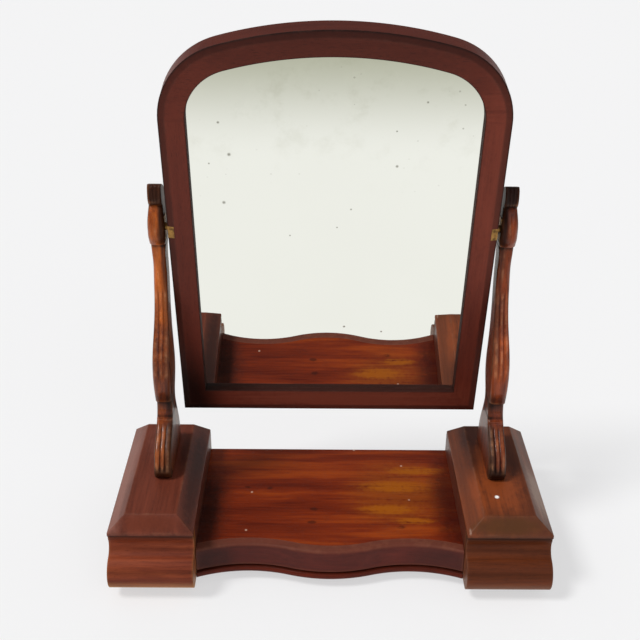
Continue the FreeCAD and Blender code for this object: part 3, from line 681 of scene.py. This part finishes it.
def member(name, outer, inner, finish, node, notch=None):
    """A moulded length of the frame: its section is carried between an outer and an inner line.

    A point of the section that lies i in from the outer line of a member as wide as a stile stands
    at outer + (inner - outer) i / stile. Notch says which of the lines' points have the notch for a
    pivot block: there the section's outer edge moves in.
    """
    step = FRAME_FACE + LIP
    glass_edge = STILE - GLASS_REBATE
    board_edge = STILE - BACKBOARD_REBATE
    corners = [
        (0, FRAME_BACK), (0, NOTCH_BACK), (0, FRAME_FACE + EDGE_SLOPE[1]),
        (EDGE_SLOPE[0], FRAME_FACE), (STILE, FRAME_FACE), (STILE, step), (glass_edge, step),
        (glass_edge, BACKBOARD_FACE), (board_edge, BACKBOARD_FACE), (board_edge, FRAME_BACK),
    ]
    radii = (1.0, 0.3, 0.9, 0.6, 0.9, 0.3, 0.3, 0.3, 0.3, 0.5)
    section, near = eased(corners, radii, flats=7, rounds=6, worn=1.5)
    into = section[None, :, 0] + np.zeros((len(outer), 1))
    y = section[None, :, 1] + np.zeros((len(outer), 1))
    if notch is not None:
        cut = notch[:, None] & (into < NOTCH_DEPTH) & (y < NOTCH_BACK)
        into = np.where(cut, NOTCH_DEPTH, into)
    place = outer[:, None] + (inner - outer)[:, None] * (into / STILE)[..., None]
    rings = from_upright(place[..., 0], y, place[..., 1])
    into_face, back = section.T
    # Painted shade along the sight edge; darker also on the outer sloping border and along the outer
    # edge.
    hollow = hump(into_face, STILE, 1.0) * 0.9
    hollow += 0.5 * smooth((10 - into_face) / 3) * smooth((FRAME_FACE + 3.2 - back) / 1.2)
    hollow += 0.5 * hump(into_face, 0, 1.6) * smooth((FRAME_FACE + 3.5 - back) / 1.2)
    hollow = np.clip(hollow, 0, 1)
    piece = make(name, rings, near[None], hollow[None], crease=45)
    fit(piece, "mirror", "frame_mahogany", finish, node)


OUTER_SPRING = springing(FRAME_HALF, CROWN, SHOULDER, FRAME_ABOVE)
outer_right = arch_line(FRAME_HALF, CROWN, SHOULDER, FRAME_ABOVE, OUTER_SPRING)
inner_right = arch_line(
    FRAME_HALF - STILE, CROWN - ARCH_RAIL, SHOULDER - STILE, FRAME_ABOVE - ARCH_RAIL, OUTER_SPRING
)
FLIP = np.array([-1.0, 1.0])
# Darker and paler places on the frame: the arch and the left stile darker, the right stile and the
# lower rail paler, and the lower left corner near black, a painted dark reflection.
FRAME_TONES_AND_SHADE = [
    ((0.0, 0.0, 0.72), (0.4, 0.4, 0.2), 0.46, (30, 14, 12), 0.4),
    ((-0.2, 0.09, 0.45), (0.06, 0.3, 0.3), 0.24, (40, 16, 12), 0.4),
    ((0.2, 0.04, 0.5), (0.06, 0.2, 0.22), 0.45, (140, 64, 45), 0.6),
    ((0.03, 0.1, 0.16), (0.26, 0.1, 0.05), 0.4, (142, 76, 58), 0.6),
    # painted dark reflection in the lower left corner
    ((-0.202, 0.098, 0.14), (0.07, 0.062, 0.17), 0.92, (12, 4, 3), 0.08),
]
rail_finish = timber("frame_mahogany_level", turn=ALONG_RAIL, marks=FRAME_TONES_AND_SHADE, **FRAME_WOOD)
stile_finish = timber("frame_mahogany_upright", turn=ALONG_STILE, marks=FRAME_TONES_AND_SHADE, **FRAME_WOOD)
member(
    "arched_rail", np.concatenate([outer_right, outer_right[-2::-1] * FLIP]),
    np.concatenate([inner_right, inner_right[-2::-1] * FLIP]), rail_finish, "frame_arch",
)
low_outer = np.array([[FRAME_HALF, -FRAME_BELOW], [-FRAME_HALF, -FRAME_BELOW]])
low_inner = low_outer + [[-STILE, BOTTOM_RAIL], [STILE, BOTTOM_RAIL]]
member(
    "lower_rail", np.linspace(*low_outer, 12), np.linspace(*low_inner, 12), rail_finish,
    "frame_bottom_rail",
)
for label, side in SIDES:
    wall = NOTCH_HALF + NOTCH_WALL
    z = np.array([
        -FRAME_BELOW, -250, -150, -60, -wall, -NOTCH_HALF, 0, NOTCH_HALF, wall, 60, OUTER_SPRING,
    ])
    outer = np.stack([np.full(len(z), side * FRAME_HALF), z], 1)
    inner = outer - [side * STILE, 0]
    inner[0, 1] += BOTTOM_RAIL
    member(
        label + "_stile", outer, inner, stile_finish, "frame_" + label + "_stile",
        notch=np.abs(z) <= NOTCH_HALF,
    )


# -------- plinth lids and drawer fronts
LID_REACH = 34.0            # inset of the innermost ring of a lid
LID_CORNER = 1.3            # radius of a lid's upright corners
FRONT_TOP = BOX_TOP - 0.7   # a small gap under the lid
BAND_INSET = 3.8            # the flat band under the lid: how far back, and how high
BAND_HIGH = 7.0
# Points of the moulded front, as (y from the lid's front edge, height over the box's underside).
OGEE_HOLLOW = (5.6, 56.7)
OGEE_TURN = (-6.5, 43.0)
OGEE_BELLY = (-22.5, 21.0)
OGEE_FOOT = (-11.0, 0.0)
FRONT_END_EASE = 0.8
# Painted shade along the lines of the moulded front: (height, depth of tone, spread).
FRONT_LINES = ((81.5, 0.3, 2.6), (63.5, 0.34, 2.6), (45.0, 0.38, 3.6))


def lid(name, side):
    """The lid as level rings: an upright edge, a sloping border and a flat top.

    Each ring lies between the outermost and the innermost rectangle by its share of the inset.
    """
    corners = [
        (0, BOX_TOP), (0, LID_EDGE_TOP), (LID_SLOPE[0], LID_TOP), (LID_REACH, LID_TOP),
        (LID_REACH, BOX_TOP),
    ]
    flats = 9
    rounds = 7
    profile, near = eased(corners, (0.7, 0.9, 1.2, 0.4, 0.4), flats, rounds, 1.6)
    rows = 3 * (flats + rounds) + 1
    profile = profile[:rows]
    near = near[:rows]

    def rectangle(inset):
        inset_y = inset * LID_SLOPE[1] / LID_SLOPE[0]
        a = PLINTH_INNER + inset
        b = PLINTH_OUTER - inset
        front = LID_FRONT + inset_y
        back = LID_BACK - inset_y
        corners = [(side * a, front), (side * b, front), (side * b, back), (side * a, back)]
        return eased(corners, (LID_CORNER,) * 4, flats=14, rounds=9, worn=2.0)

    outer, corner = rectangle(0)
    inner, _ = rectangle(LID_REACH)
    inset = profile[:, :1]
    plan = outer[None] + (inner - outer)[None] * (inset / LID_REACH)[..., None]
    z = np.broadcast_to(profile[:, 1:], plan.shape[:2])
    rings = np.concatenate([plan, z[..., None]], 2)
    hips = corner[None] * (inset < LID_SLOPE[0] + 0.5) * 0.8
    wear_and_highlight = np.maximum(near[:, None] * (inset < LID_SLOPE[0] + 5), hips)
    outside = inset < 1
    # Along the foot of the lid's outer edge the pale wear gives way to a line of painted shade.
    wear_and_highlight = wear_and_highlight * (1 - 0.9 * hump(z, BOX_TOP, 2.5) * outside)
    hollow = 0.95 * hump(z, BOX_TOP, 1.5) * outside
    return make(name, rings, wear_and_highlight, hollow, crease=30)


def bend_through(a, b, c, count):
    """Points of the circle arc from a through b to c, both ends among them."""
    a, b, c = (complex(*p) for p in (a, b, c))
    w = (c - a) / (b - a)
    centre = a - (a - b) * (w - abs(w) ** 2) / 2j / w.imag
    turns = np.angle((c - centre) / (a - centre))
    middle = np.angle((b - centre) / (a - centre))
    if turns * middle < 0:
        turns -= math.copysign(2 * math.pi, turns)
    points = centre + (a - centre) * np.exp(1j * turns * np.linspace(0, 1, count))
    return np.stack([points.real, points.imag], 1)


def ogee():
    """The drawer front's section, (y, z): a flat band, a hollow arc, a belly arc and a flat back."""
    points = (OGEE_HOLLOW, OGEE_TURN, OGEE_BELLY, OGEE_FOOT)
    hollow, turn, belly, foot = ((LID_FRONT + y, BOX_LOW + z) for y, z in points)
    band_top = (LID_FRONT + BAND_INSET, FRONT_TOP)
    band_low = (LID_FRONT + BAND_INSET, FRONT_TOP - BAND_HIGH)
    low_back = (CARCASS_FRONT, BOX_LOW)
    high_back = (CARCASS_FRONT, FRONT_TOP)
    upper = bend_through(band_low, hollow, turn, 26)
    lower = bend_through(turn, belly, foot, 40)
    return np.concatenate([
        blunt(high_back, band_top, band_low, 0.6, 5), upper, lower[1:-2],
        blunt(lower[-3], foot, low_back, 0.9, 5), blunt(foot, low_back, high_back, 0.4, 5),
        blunt(low_back, high_back, band_top, 0.4, 5),
    ])


def drawn_in(section, distance, radius):
    """A section at distances from a rounded end, drawn in there by r - sqrt(r^2 - (r - d)^2)."""
    left = np.clip(radius - distance, 0, radius)
    ease = radius - np.sqrt(radius ** 2 - left ** 2)
    return section[None] + inward(section)[None] * ease[..., None]


def drawer_front(name, side):
    """The ogee section carried from one side of the plinth to the other, drawn in at its ends."""
    section = ogee()
    near_end = np.array([0, 0.05, 0.2, 0.45, 0.8, 1.6, 3, 6, 12])
    width = PLINTH_OUTER - PLINTH_INNER
    along = np.concatenate([near_end, np.linspace(20, width - 20, 12), width - near_end[::-1]])
    from_end = np.minimum(along, width - along)[:, None]
    drawn = drawn_in(section, from_end, FRONT_END_EASE)
    leftmost = min(side * PLINTH_INNER, side * PLINTH_OUTER)
    x = np.broadcast_to(leftmost + along[:, None], drawn.shape[:2])
    rings = np.concatenate([x[..., None], drawn], 2)
    y = section[None, :, 0]
    z = section[None, :, 1]
    foot_edge = (0.35 * smooth((34 - z) / 8) + 0.65 * smooth((25 - z) / 6)) * (y < LID_FRONT)
    ends = hump(from_end, 0, 1.4) * 0.3
    wear_and_highlight = np.clip(foot_edge + ends, 0, 1)
    # Painted shade under the lid and along the lines of the moulding, on the moulded face only.
    hollow = 0.95 * hump(z, FRONT_TOP, 1.6)
    for height, depth, spread in FRONT_LINES:
        hollow += depth * hump(z, height, spread)
    hollow = np.clip(hollow, 0, 1) * (y < LID_FRONT + 6)
    return make(name, rings, wear_and_highlight, hollow, crease=40)


# Marks of the lids: chips, paler and darker patches, and painted light: shade beside and behind the
# posts' feet, a dark reflection on the left lid's inner slope and pale reflections on the outer
# slopes.
LID_MARKS_AND_PAINTED_LIGHT = {
    "left": [
        # painted shade beside the left post's foot
        ((-0.197, 0.035, 0.11), (0.012, 0.06, 0.02), 0.6, (40, 20, 16), 0.6),
        # painted dark reflection on the inner slope
        ((-0.18, 0.0, 0.1), (0.02, 0.2, 0.02), 0.75, (42, 10, 4), 0.5),
        # painted pale reflection on the outer slope
        ((-0.277, 0.0, 0.1), (0.022, 0.3, 0.02), 0.5, (150, 104, 92), 0.4),
        ((-0.23, 0.07, 0.11), (0.03, 0.07, 0.02), 0.4, (150, 92, 78), 0.6),
        ((-0.226, -0.104, 0.1), (0.06, 0.013, 0.02), 0.6, (100, 42, 20), 0.5),
    ],
    "right": [
        # painted shade beside the right post's foot
        ((0.192, 0.04, 0.11), (0.016, 0.08, 0.02), 0.6, (38, 18, 14), 0.6),
        # painted shade behind the post, over darker figure
        ((0.205, 0.09, 0.11), (0.035, 0.06, 0.02), 0.75, (40, 20, 16), 0.5),
        ((0.1755, -0.107, 0.0935), (0.0022, 0.008, 0.0045), 0.5, (206, 178, 158), 1.2),
        ((0.22, -0.04, 0.11), (0.05, 0.075, 0.02), 0.6, (150, 72, 32), 0.8),
        ((0.222, -0.104, 0.1), (0.075, 0.016, 0.02), 0.85, (82, 46, 14), 0.4),
        # painted pale reflection on the outer slope
        ((0.276, -0.035, 0.1), (0.022, 0.08, 0.02), 0.8, (150, 124, 110), 0.5),
        ((0.2151, -0.0578, 0.11), (0.0046, 0.004, 0.006), 1.0, (252, 250, 246), 1.2),
    ],
}
PLINTH_WOODS = {"left": (LEFT_LID_WOOD, LEFT_FRONT_WOOD), "right": (RIGHT_LID_WOOD, RIGHT_FRONT_WOOD)}
for label, side in SIDES:
    lid_wood, front_wood = PLINTH_WOODS[label]
    grain_shift = (0.07 * side, 0.03 * side, 0.11 * side)
    finish = timber(
        label + "_lid_mahogany", turn=ALONG_Y, shift=grain_shift, marks=LID_MARKS_AND_PAINTED_LIGHT[label], **lid_wood,
    )
    piece = lid(label + "_chamfered_lid", side)
    fit(piece, "stand", "lid_mahogany", finish, label + "_plinth_lid")
    finish = timber(label + "_front_mahogany", turn=ALONG_X, shift=grain_shift, **front_wood)
    piece = drawer_front(label + "_ogee_front", side)
    fit(piece, label + "_drawer", "drawer_front_mahogany", finish, label + "_drawer_front")


# -------- serpentine rail and moulding
RAIL_FACE = LID_FRONT + 7.2
BEND = 182.0                # radius of every bend of the serpentine line
BREAK = 52.0                # middle to the first change of bend
WING_SHARE = 0.345          # share of the run that each outer arc takes
RAIL_END = PLINTH_INNER - 0.4
RAIL_END_EASE = 0.7
RAIL_LOW = 24.5
RAIL_THICK = 13.0
BEAD_HIGH = 22.3            # top of the moulding's bead, a groove below the rail
BEAD_OUT = 3.5              # how far the bead stands out from the rail's face


def serpentine(run, back):
    """The serpentine line, moved back by a distance, at shares from 0 to 1 of its run.

    The middle arc is y = m - sqrt((R - back)^2 - x^2), and each outer arc is
    y = e + sqrt((R + back)^2 - (|x| - 2 break)^2); x runs evenly within each arc.
    """
    turn = BREAK * (BEND - back) / BEND
    wing = WING_SHARE
    x_left = -RAIL_END + (RAIL_END - turn) * run / wing
    x_mid = turn * (2 * (run - wing) / (1 - 2 * wing) - 1)
    x_right = turn + (RAIL_END - turn) * (run - 1 + wing) / wing
    x = np.where(run < wing, x_left, np.where(run > 1 - wing, x_right, x_mid))
    mid_y = RAIL_FACE + BEND
    end_y = mid_y - 2 * math.sqrt(BEND ** 2 - BREAK ** 2)
    middle_arc = mid_y - np.sqrt(np.maximum((BEND - back) ** 2 - x ** 2, 0))
    outer_arc = end_y + np.sqrt(np.maximum((BEND + back) ** 2 - (np.abs(x) - 2 * BREAK) ** 2, 0))
    return x, np.where(np.abs(x) < turn, middle_arc, outer_arc)


def strip(name, corners, radii, finish, node, painted_shade=None, rubbed_and_highlit=None):
    """A section, (distance behind the rail's face, height), carried along the serpentine line.

    The two optional functions of the section say where it is painted dark, which is painted shade,
    and where it is painted pale besides its edges, which is wear together with painted highlight.
    """
    section, near = eased(corners, radii, flats=8, rounds=9, worn=1.8)
    close_in = np.array([0, 0.05, 0.2, 0.45, 0.8, 1.5, 3.0]) / (2 * RAIL_END)
    run = np.concatenate([close_in, np.linspace(0.02, 0.98, 72), 1 - close_in[::-1]])[:, None]
    from_end = np.minimum(run, 1 - run) * 2 * RAIL_END
    drawn = drawn_in(section, from_end, RAIL_END_EASE)
    x, y = serpentine(run, drawn[..., 0])
    rings = np.stack([x, y, drawn[..., 1]], -1)
    # Paler along the section's corners and at the rounded ends: wear, with a painted highlight on the
    # ends.
    wear_and_highlight = np.clip(near[None] * 0.5 + 0.6 * hump(from_end, 0, 2.0), 0, 1)
    if rubbed_and_highlit is not None:
        wear_and_highlight = np.maximum(wear_and_highlight, rubbed_and_highlit(section)[None])
    hollow = np.zeros(len(section)) if painted_shade is None else painted_shade(section)
    piece = make(name, rings, wear_and_highlight, hollow[None], crease=40)
    fit(piece, "stand", "rail_mahogany", finish, node)


# Painted shade on the rail's face towards its ends, beside the drawer fronts.
RAIL_END_SHADE = [
    ((-0.15, -0.1, 0.035), (0.04, 0.05, 0.04), 0.5, (26, 14, 14), 0.5),
    ((0.14, -0.1, 0.035), (0.06, 0.05, 0.04), 0.4, (30, 18, 18), 0.5),
]
rail_wood = timber("rail_mahogany", turn=ALONG_X, marks=RAIL_END_SHADE, **RAIL_WOOD)
MOULDING_WOOD = dict(RAIL_WOOD, pale=(108, 32, 12), deep=(60, 16, 6), gloss=0.34, coat=0.1, wear=0.2,
                     shine=0.1)
moulding_wood = timber("moulding_mahogany", turn=ALONG_X, shift=(0.4, 0.1, 0.2), **MOULDING_WOOD)
strip(
    "serpentine_front",
    [(0, RAIL_LOW), (0, SHELF_TOP), (RAIL_THICK, SHELF_TOP), (RAIL_THICK, RAIL_LOW)],
    (0.3, 4.6, 0.3, 0.3), rail_wood, "serpentine_rail",
    # The rail's paler top is wear together with painted light on it; the pale line at the top's back
    # edge is a painted highlight.
    rubbed_and_highlit=lambda s: np.maximum(
        0.7 * smooth((s[:, 1] - SHELF_TOP + 5) / 4),
        hump(s[:, 0], RAIL_THICK - 0.8, 1.2) * (s[:, 1] > SHELF_TOP - 1),
    ),
)
strip(
    "serpentine_bead",
    [(-BEAD_OUT, BOX_LOW), (-BEAD_OUT, BEAD_HIGH), (2.0, BEAD_HIGH), (2.0, RAIL_LOW),
     (22, RAIL_LOW), (22, BOX_LOW)],
    (3.8, 3.8, 0.3, 0.3, 0.3, 0.5), moulding_wood, "serpentine_moulding",
    # painted shade in the groove between the bead and the rail
    painted_shade=lambda s: hump(s[:, 1], (BEAD_HIGH + RAIL_LOW) / 2, 1.6) * (s[:, 0] < 4),
)


# -------- finishes of the plainer pieces
LINING_WOOD = dict(pale=(176, 128, 84), deep=(128, 84, 52))
SOFTWOOD = dict(pale=(186, 146, 98), deep=(146, 106, 66))
carcass_deep = timber("carcass_mahogany_deep", turn=ALONG_Y, **CARCASS_WOOD)
carcass_wide = timber("carcass_mahogany_wide", turn=ALONG_X, **CARCASS_WOOD)
lining_deep = bare_wood("drawer_lining_deep", turn=ALONG_Y, **LINING_WOOD)
lining_wide = bare_wood("drawer_lining_wide", turn=ALONG_X, **LINING_WOOD)
soft_wide = bare_wood("softwood_wide", turn=ALONG_X, **SOFTWOOD)
soft_upright = bare_wood("softwood_upright", turn=ALONG_STILE, **SOFTWOOD)
back_panel = bare_wood("backboard_wood", (150, 104, 66), (104, 68, 42), ALONG_STILE)
turned = timber("foot_wood", (92, 46, 30), (54, 26, 18), ALONG_X, gloss=0.45, coat=0.15)

# The shelf's marks lie on its top: a golden patch, golden streaks, knots and pale chips, and painted
# shade at its ends.
GOLD = (160, 86, 6)
KNOT = (38, 14, 7)
CHIP = (206, 176, 156)
ON_TOP = SHELF_TOP * MM
STREAK_PLACES = (
    (0.1216, 0.0709, 0.052, 0.013), (0.0919, 0.033, 0.062, 0.018), (0.0805, -0.016, 0.052, 0.015),
    (0.1121, -0.0412, 0.036, 0.010),
)
KNOT_PLACES = (
    (-0.1114, 0.0309), (-0.0821, 0.0289), (-0.0208, -0.017), (-0.0234, -0.0445), (0.0939, -0.0537),
)
CHIP_PLACES = (
    (-0.1097, -0.0617), (-0.1066, 0.0196), (0.104, 0.0828), (0.1091, 0.0039), (0.0375, 0.1215),
)
SHELF_MARKS_AND_SHADE = [
    ((0.096, 0.018, ON_TOP), (0.095, 0.1, 0.05), 0.5, (146, 74, 17), 1.0),
    # painted shade at the shelf's two ends, beside the plinths
    ((0.172, 0.0, ON_TOP), (0.045, 0.2, 0.05), 0.75, (46, 10, 9), 0.6),
    ((-0.176, -0.02, ON_TOP), (0.055, 0.16, 0.05), 0.75, (24, 11, 8), 0.5),
]
SHELF_MARKS_AND_SHADE += [((x, y, ON_TOP), (a, b, 0.02), 0.8, GOLD, 1.0) for x, y, a, b in STREAK_PLACES]
SHELF_MARKS_AND_SHADE += [((x, y, ON_TOP), (0.008, 0.0045, 0.01), 0.6, KNOT, 1.6) for x, y in KNOT_PLACES]
SHELF_MARKS_AND_SHADE += [((x, y, ON_TOP), (0.0022, 0.0024, 0.01), 0.75, CHIP, 0.6) for x, y in CHIP_PLACES]
shelf_wood = timber("shelf_mahogany", turn=ALONG_X, marks=SHELF_MARKS_AND_SHADE, **SHELF_WOOD)

ON_EACH_SIDE = (
    (carcass_deep, ("plinth_outer_side", "plinth_inner_side")),
    (carcass_wide, ("plinth_back", "plinth_bottom", "plinth_lid", "drawer_front", "post")),
    (turned, ("front_foot", "back_foot")),
    (lining_deep, ("drawer_left_side", "drawer_right_side")),
    (lining_wide, ("drawer_back", "drawer_bottom")),
    (brass, ("pivot_pin", "post_plate", "pivot_block")),
)
IN_THE_MIDDLE = (
    (stile_finish, ("frame_left_stile", "frame_right_stile")),
    (rail_finish, ("frame_arch", "frame_bottom_rail")),
    (rail_wood, ("serpentine_rail",)),
    (moulding_wood, ("serpentine_moulding",)),
    (shelf_wood, ("shelf",)),
    (soft_wide, ("shelf_back_rail", "glue_blocks")),
    (soft_upright, ("glass_blocks",)),
    (back_panel, ("backboard",)),
    (glass, ("mirror_glass",)),
    (steel, ("post_screws",)),
    (brass, ("post_plate_screws", "pivot_block_screws", "backboard_screws")),
)
for finish, parts in ON_EACH_SIDE:
    for part in parts:
        own_finish("left_" + part, finish)
        own_finish("right_" + part, finish)
for finish, parts in IN_THE_MIDDLE:
    for part in parts:
        own_finish(part, finish)


# -------- floor, light and camera
FLOOR_REACH = 8.0           # metres from the middle to each edge
FLOOR_LINES = 17            # points along each edge
FLOOR_COLOUR = paint(243, 243, 243)
FLOOR_SEEN = paint(246, 246, 247)
FLOOR_SHARE = 0.62          # how much of what the camera sees of it is its own pale colour
FLOOR_NEAR = paint(245, 245, 241)
# the farther tone is painted shade, seen only in reflections
FLOOR_FAR_SHADE = paint(182, 183, 165)
TONES_MEET = (-1.05, -0.62)     # metres, where the two tones run into each other
BACKDROP_LEVEL = 0.92       # the sky, as the camera sees it and as it lights the model
SKY_LEVEL = 0.42
LOW_SKY = 0.83              # the sky in polished surfaces, near the ground and overhead
HIGH_SKY = 0.18


def floor():
    """A level square, on a grid of even squares. Mirrors see it in two tones: the nearer pale, and the
    farther a darker painted shade that only reflections show."""
    line = np.linspace(-FLOOR_REACH, FLOOR_REACH, FLOOR_LINES)
    x, y = np.meshgrid(line, line)
    index = np.arange(FLOOR_LINES ** 2).reshape(FLOOR_LINES, FLOOR_LINES)
    faces = np.stack([index[:-1, :-1], index[:-1, 1:], index[1:, 1:], index[1:, :-1]], -1)
    points = np.stack([x, y, 0 * x], -1).reshape(-1, 3)
    mesh = bpy.data.meshes.new("floor")
    mesh.from_pydata(points.tolist(), [], faces.reshape(-1, 4).tolist())
    made, f = material("pale_floor")
    matt = f.node("BsdfPrincipled", {
        "Base Color": FLOOR_COLOUR, "Roughness": 0.9, "Specular IOR Level": 0.1,
    })
    rays = f.node("LightPath")
    glossy = rays.output("Is Glossy Ray")
    lit = f.node("Emission", {"Color": FLOOR_SEEN, "Strength": 1.0})
    to_camera = rays.output("Is Camera Ray") * FLOOR_SHARE
    matt = f.node("MixShader", {0: to_camera, 1: matt, 2: lit})
    forward = f.node("SeparateXYZ", {0: f.place()}).output("Y")
    seen = f.mix(forward.above(*TONES_MEET), FLOOR_FAR_SHADE, FLOOR_NEAR)
    shown = f.node("Emission", {"Color": seen, "Strength": 1.0})
    close(f, f.node("MixShader", {0: glossy, 1: matt, 2: shown}))
    mesh.materials.append(made)
    added("floor", mesh)


floor()

world = bpy.data.worlds.new("studio")
bpy.context.scene.world = world
world.use_nodes = True
w = Finish(world.node_tree)
rays = w.node("LightPath")
camera_ray = rays.output("Is Camera Ray")
glossy_ray = rays.output("Is Glossy Ray")
direction = w.node("SeparateXYZ", {0: w.node("TexCoord").output("Generated")})
gloss_level = direction.output("Z").above(0.22, 0.0) * (LOW_SKY - HIGH_SKY) + HIGH_SKY
unseen = glossy_ray * gloss_level + (1 - glossy_ray) * SKY_LEVEL
level = camera_ray * BACKDROP_LEVEL + (1 - camera_ray) * unseen
sky = w.node("Background", {"Color": (1.0, 1.0, 1.0, 1.0), "Strength": level})
w.node("OutputWorld", {"Surface": sky})


def lamp(name, strength, azimuth, elevation, spread):
    """A broad far lamp, its angles in degrees: azimuth from the front towards the right, elevation
    above the floor, and how wide it looks."""
    data = bpy.data.lights.new(name, "SUN")
    data.energy = strength
    data.angle = math.radians(spread)
    made = added(name, data)
    a = math.radians(azimuth)
    e = math.radians(elevation)
    towards = Vector((math.sin(a) * math.cos(e), -math.cos(a) * math.cos(e), math.sin(e)))
    made.rotation_mode = "QUATERNION"
    made.rotation_quaternion = towards.to_track_quat("Z", "Y")


lamp("key", strength=2.0, azimuth=-68, elevation=54, spread=16)
lamp("fill", strength=0.3, azimuth=30, elevation=35, spread=40)


def camera(place, yaw, down, roll, lens):
    """A camera turned by its yaw to the right, its angle down and its roll, all in degrees."""
    yaw, down, roll = (math.radians(v) for v in (yaw, down, roll))
    forward = Vector((math.sin(yaw) * math.cos(down), math.cos(yaw) * math.cos(down), -math.sin(down)))
    right = Vector((math.cos(yaw), -math.sin(yaw), 0))
    up = right.cross(forward)
    tilted_right = right * math.cos(roll) + up * math.sin(roll)
    tilted_up = up * math.cos(roll) - right * math.sin(roll)
    data = bpy.data.cameras.new("camera")
    data.sensor_width = 36.0
    data.lens = lens
    data.clip_start = 0.01
    data.clip_end = 100
    made = added("camera", data)
    turn = Matrix((tilted_right, tilted_up, -forward)).transposed()
    made.matrix_world = Matrix.Translation(place) @ turn.to_4x4()
    bpy.context.scene.camera = made


camera(Vector((-0.0230, -1.10495, 0.9082)), yaw=0.4, down=27.4, roll=0.6, lens=56.604)
bpy.context.scene.view_settings.view_transform = "Standard"
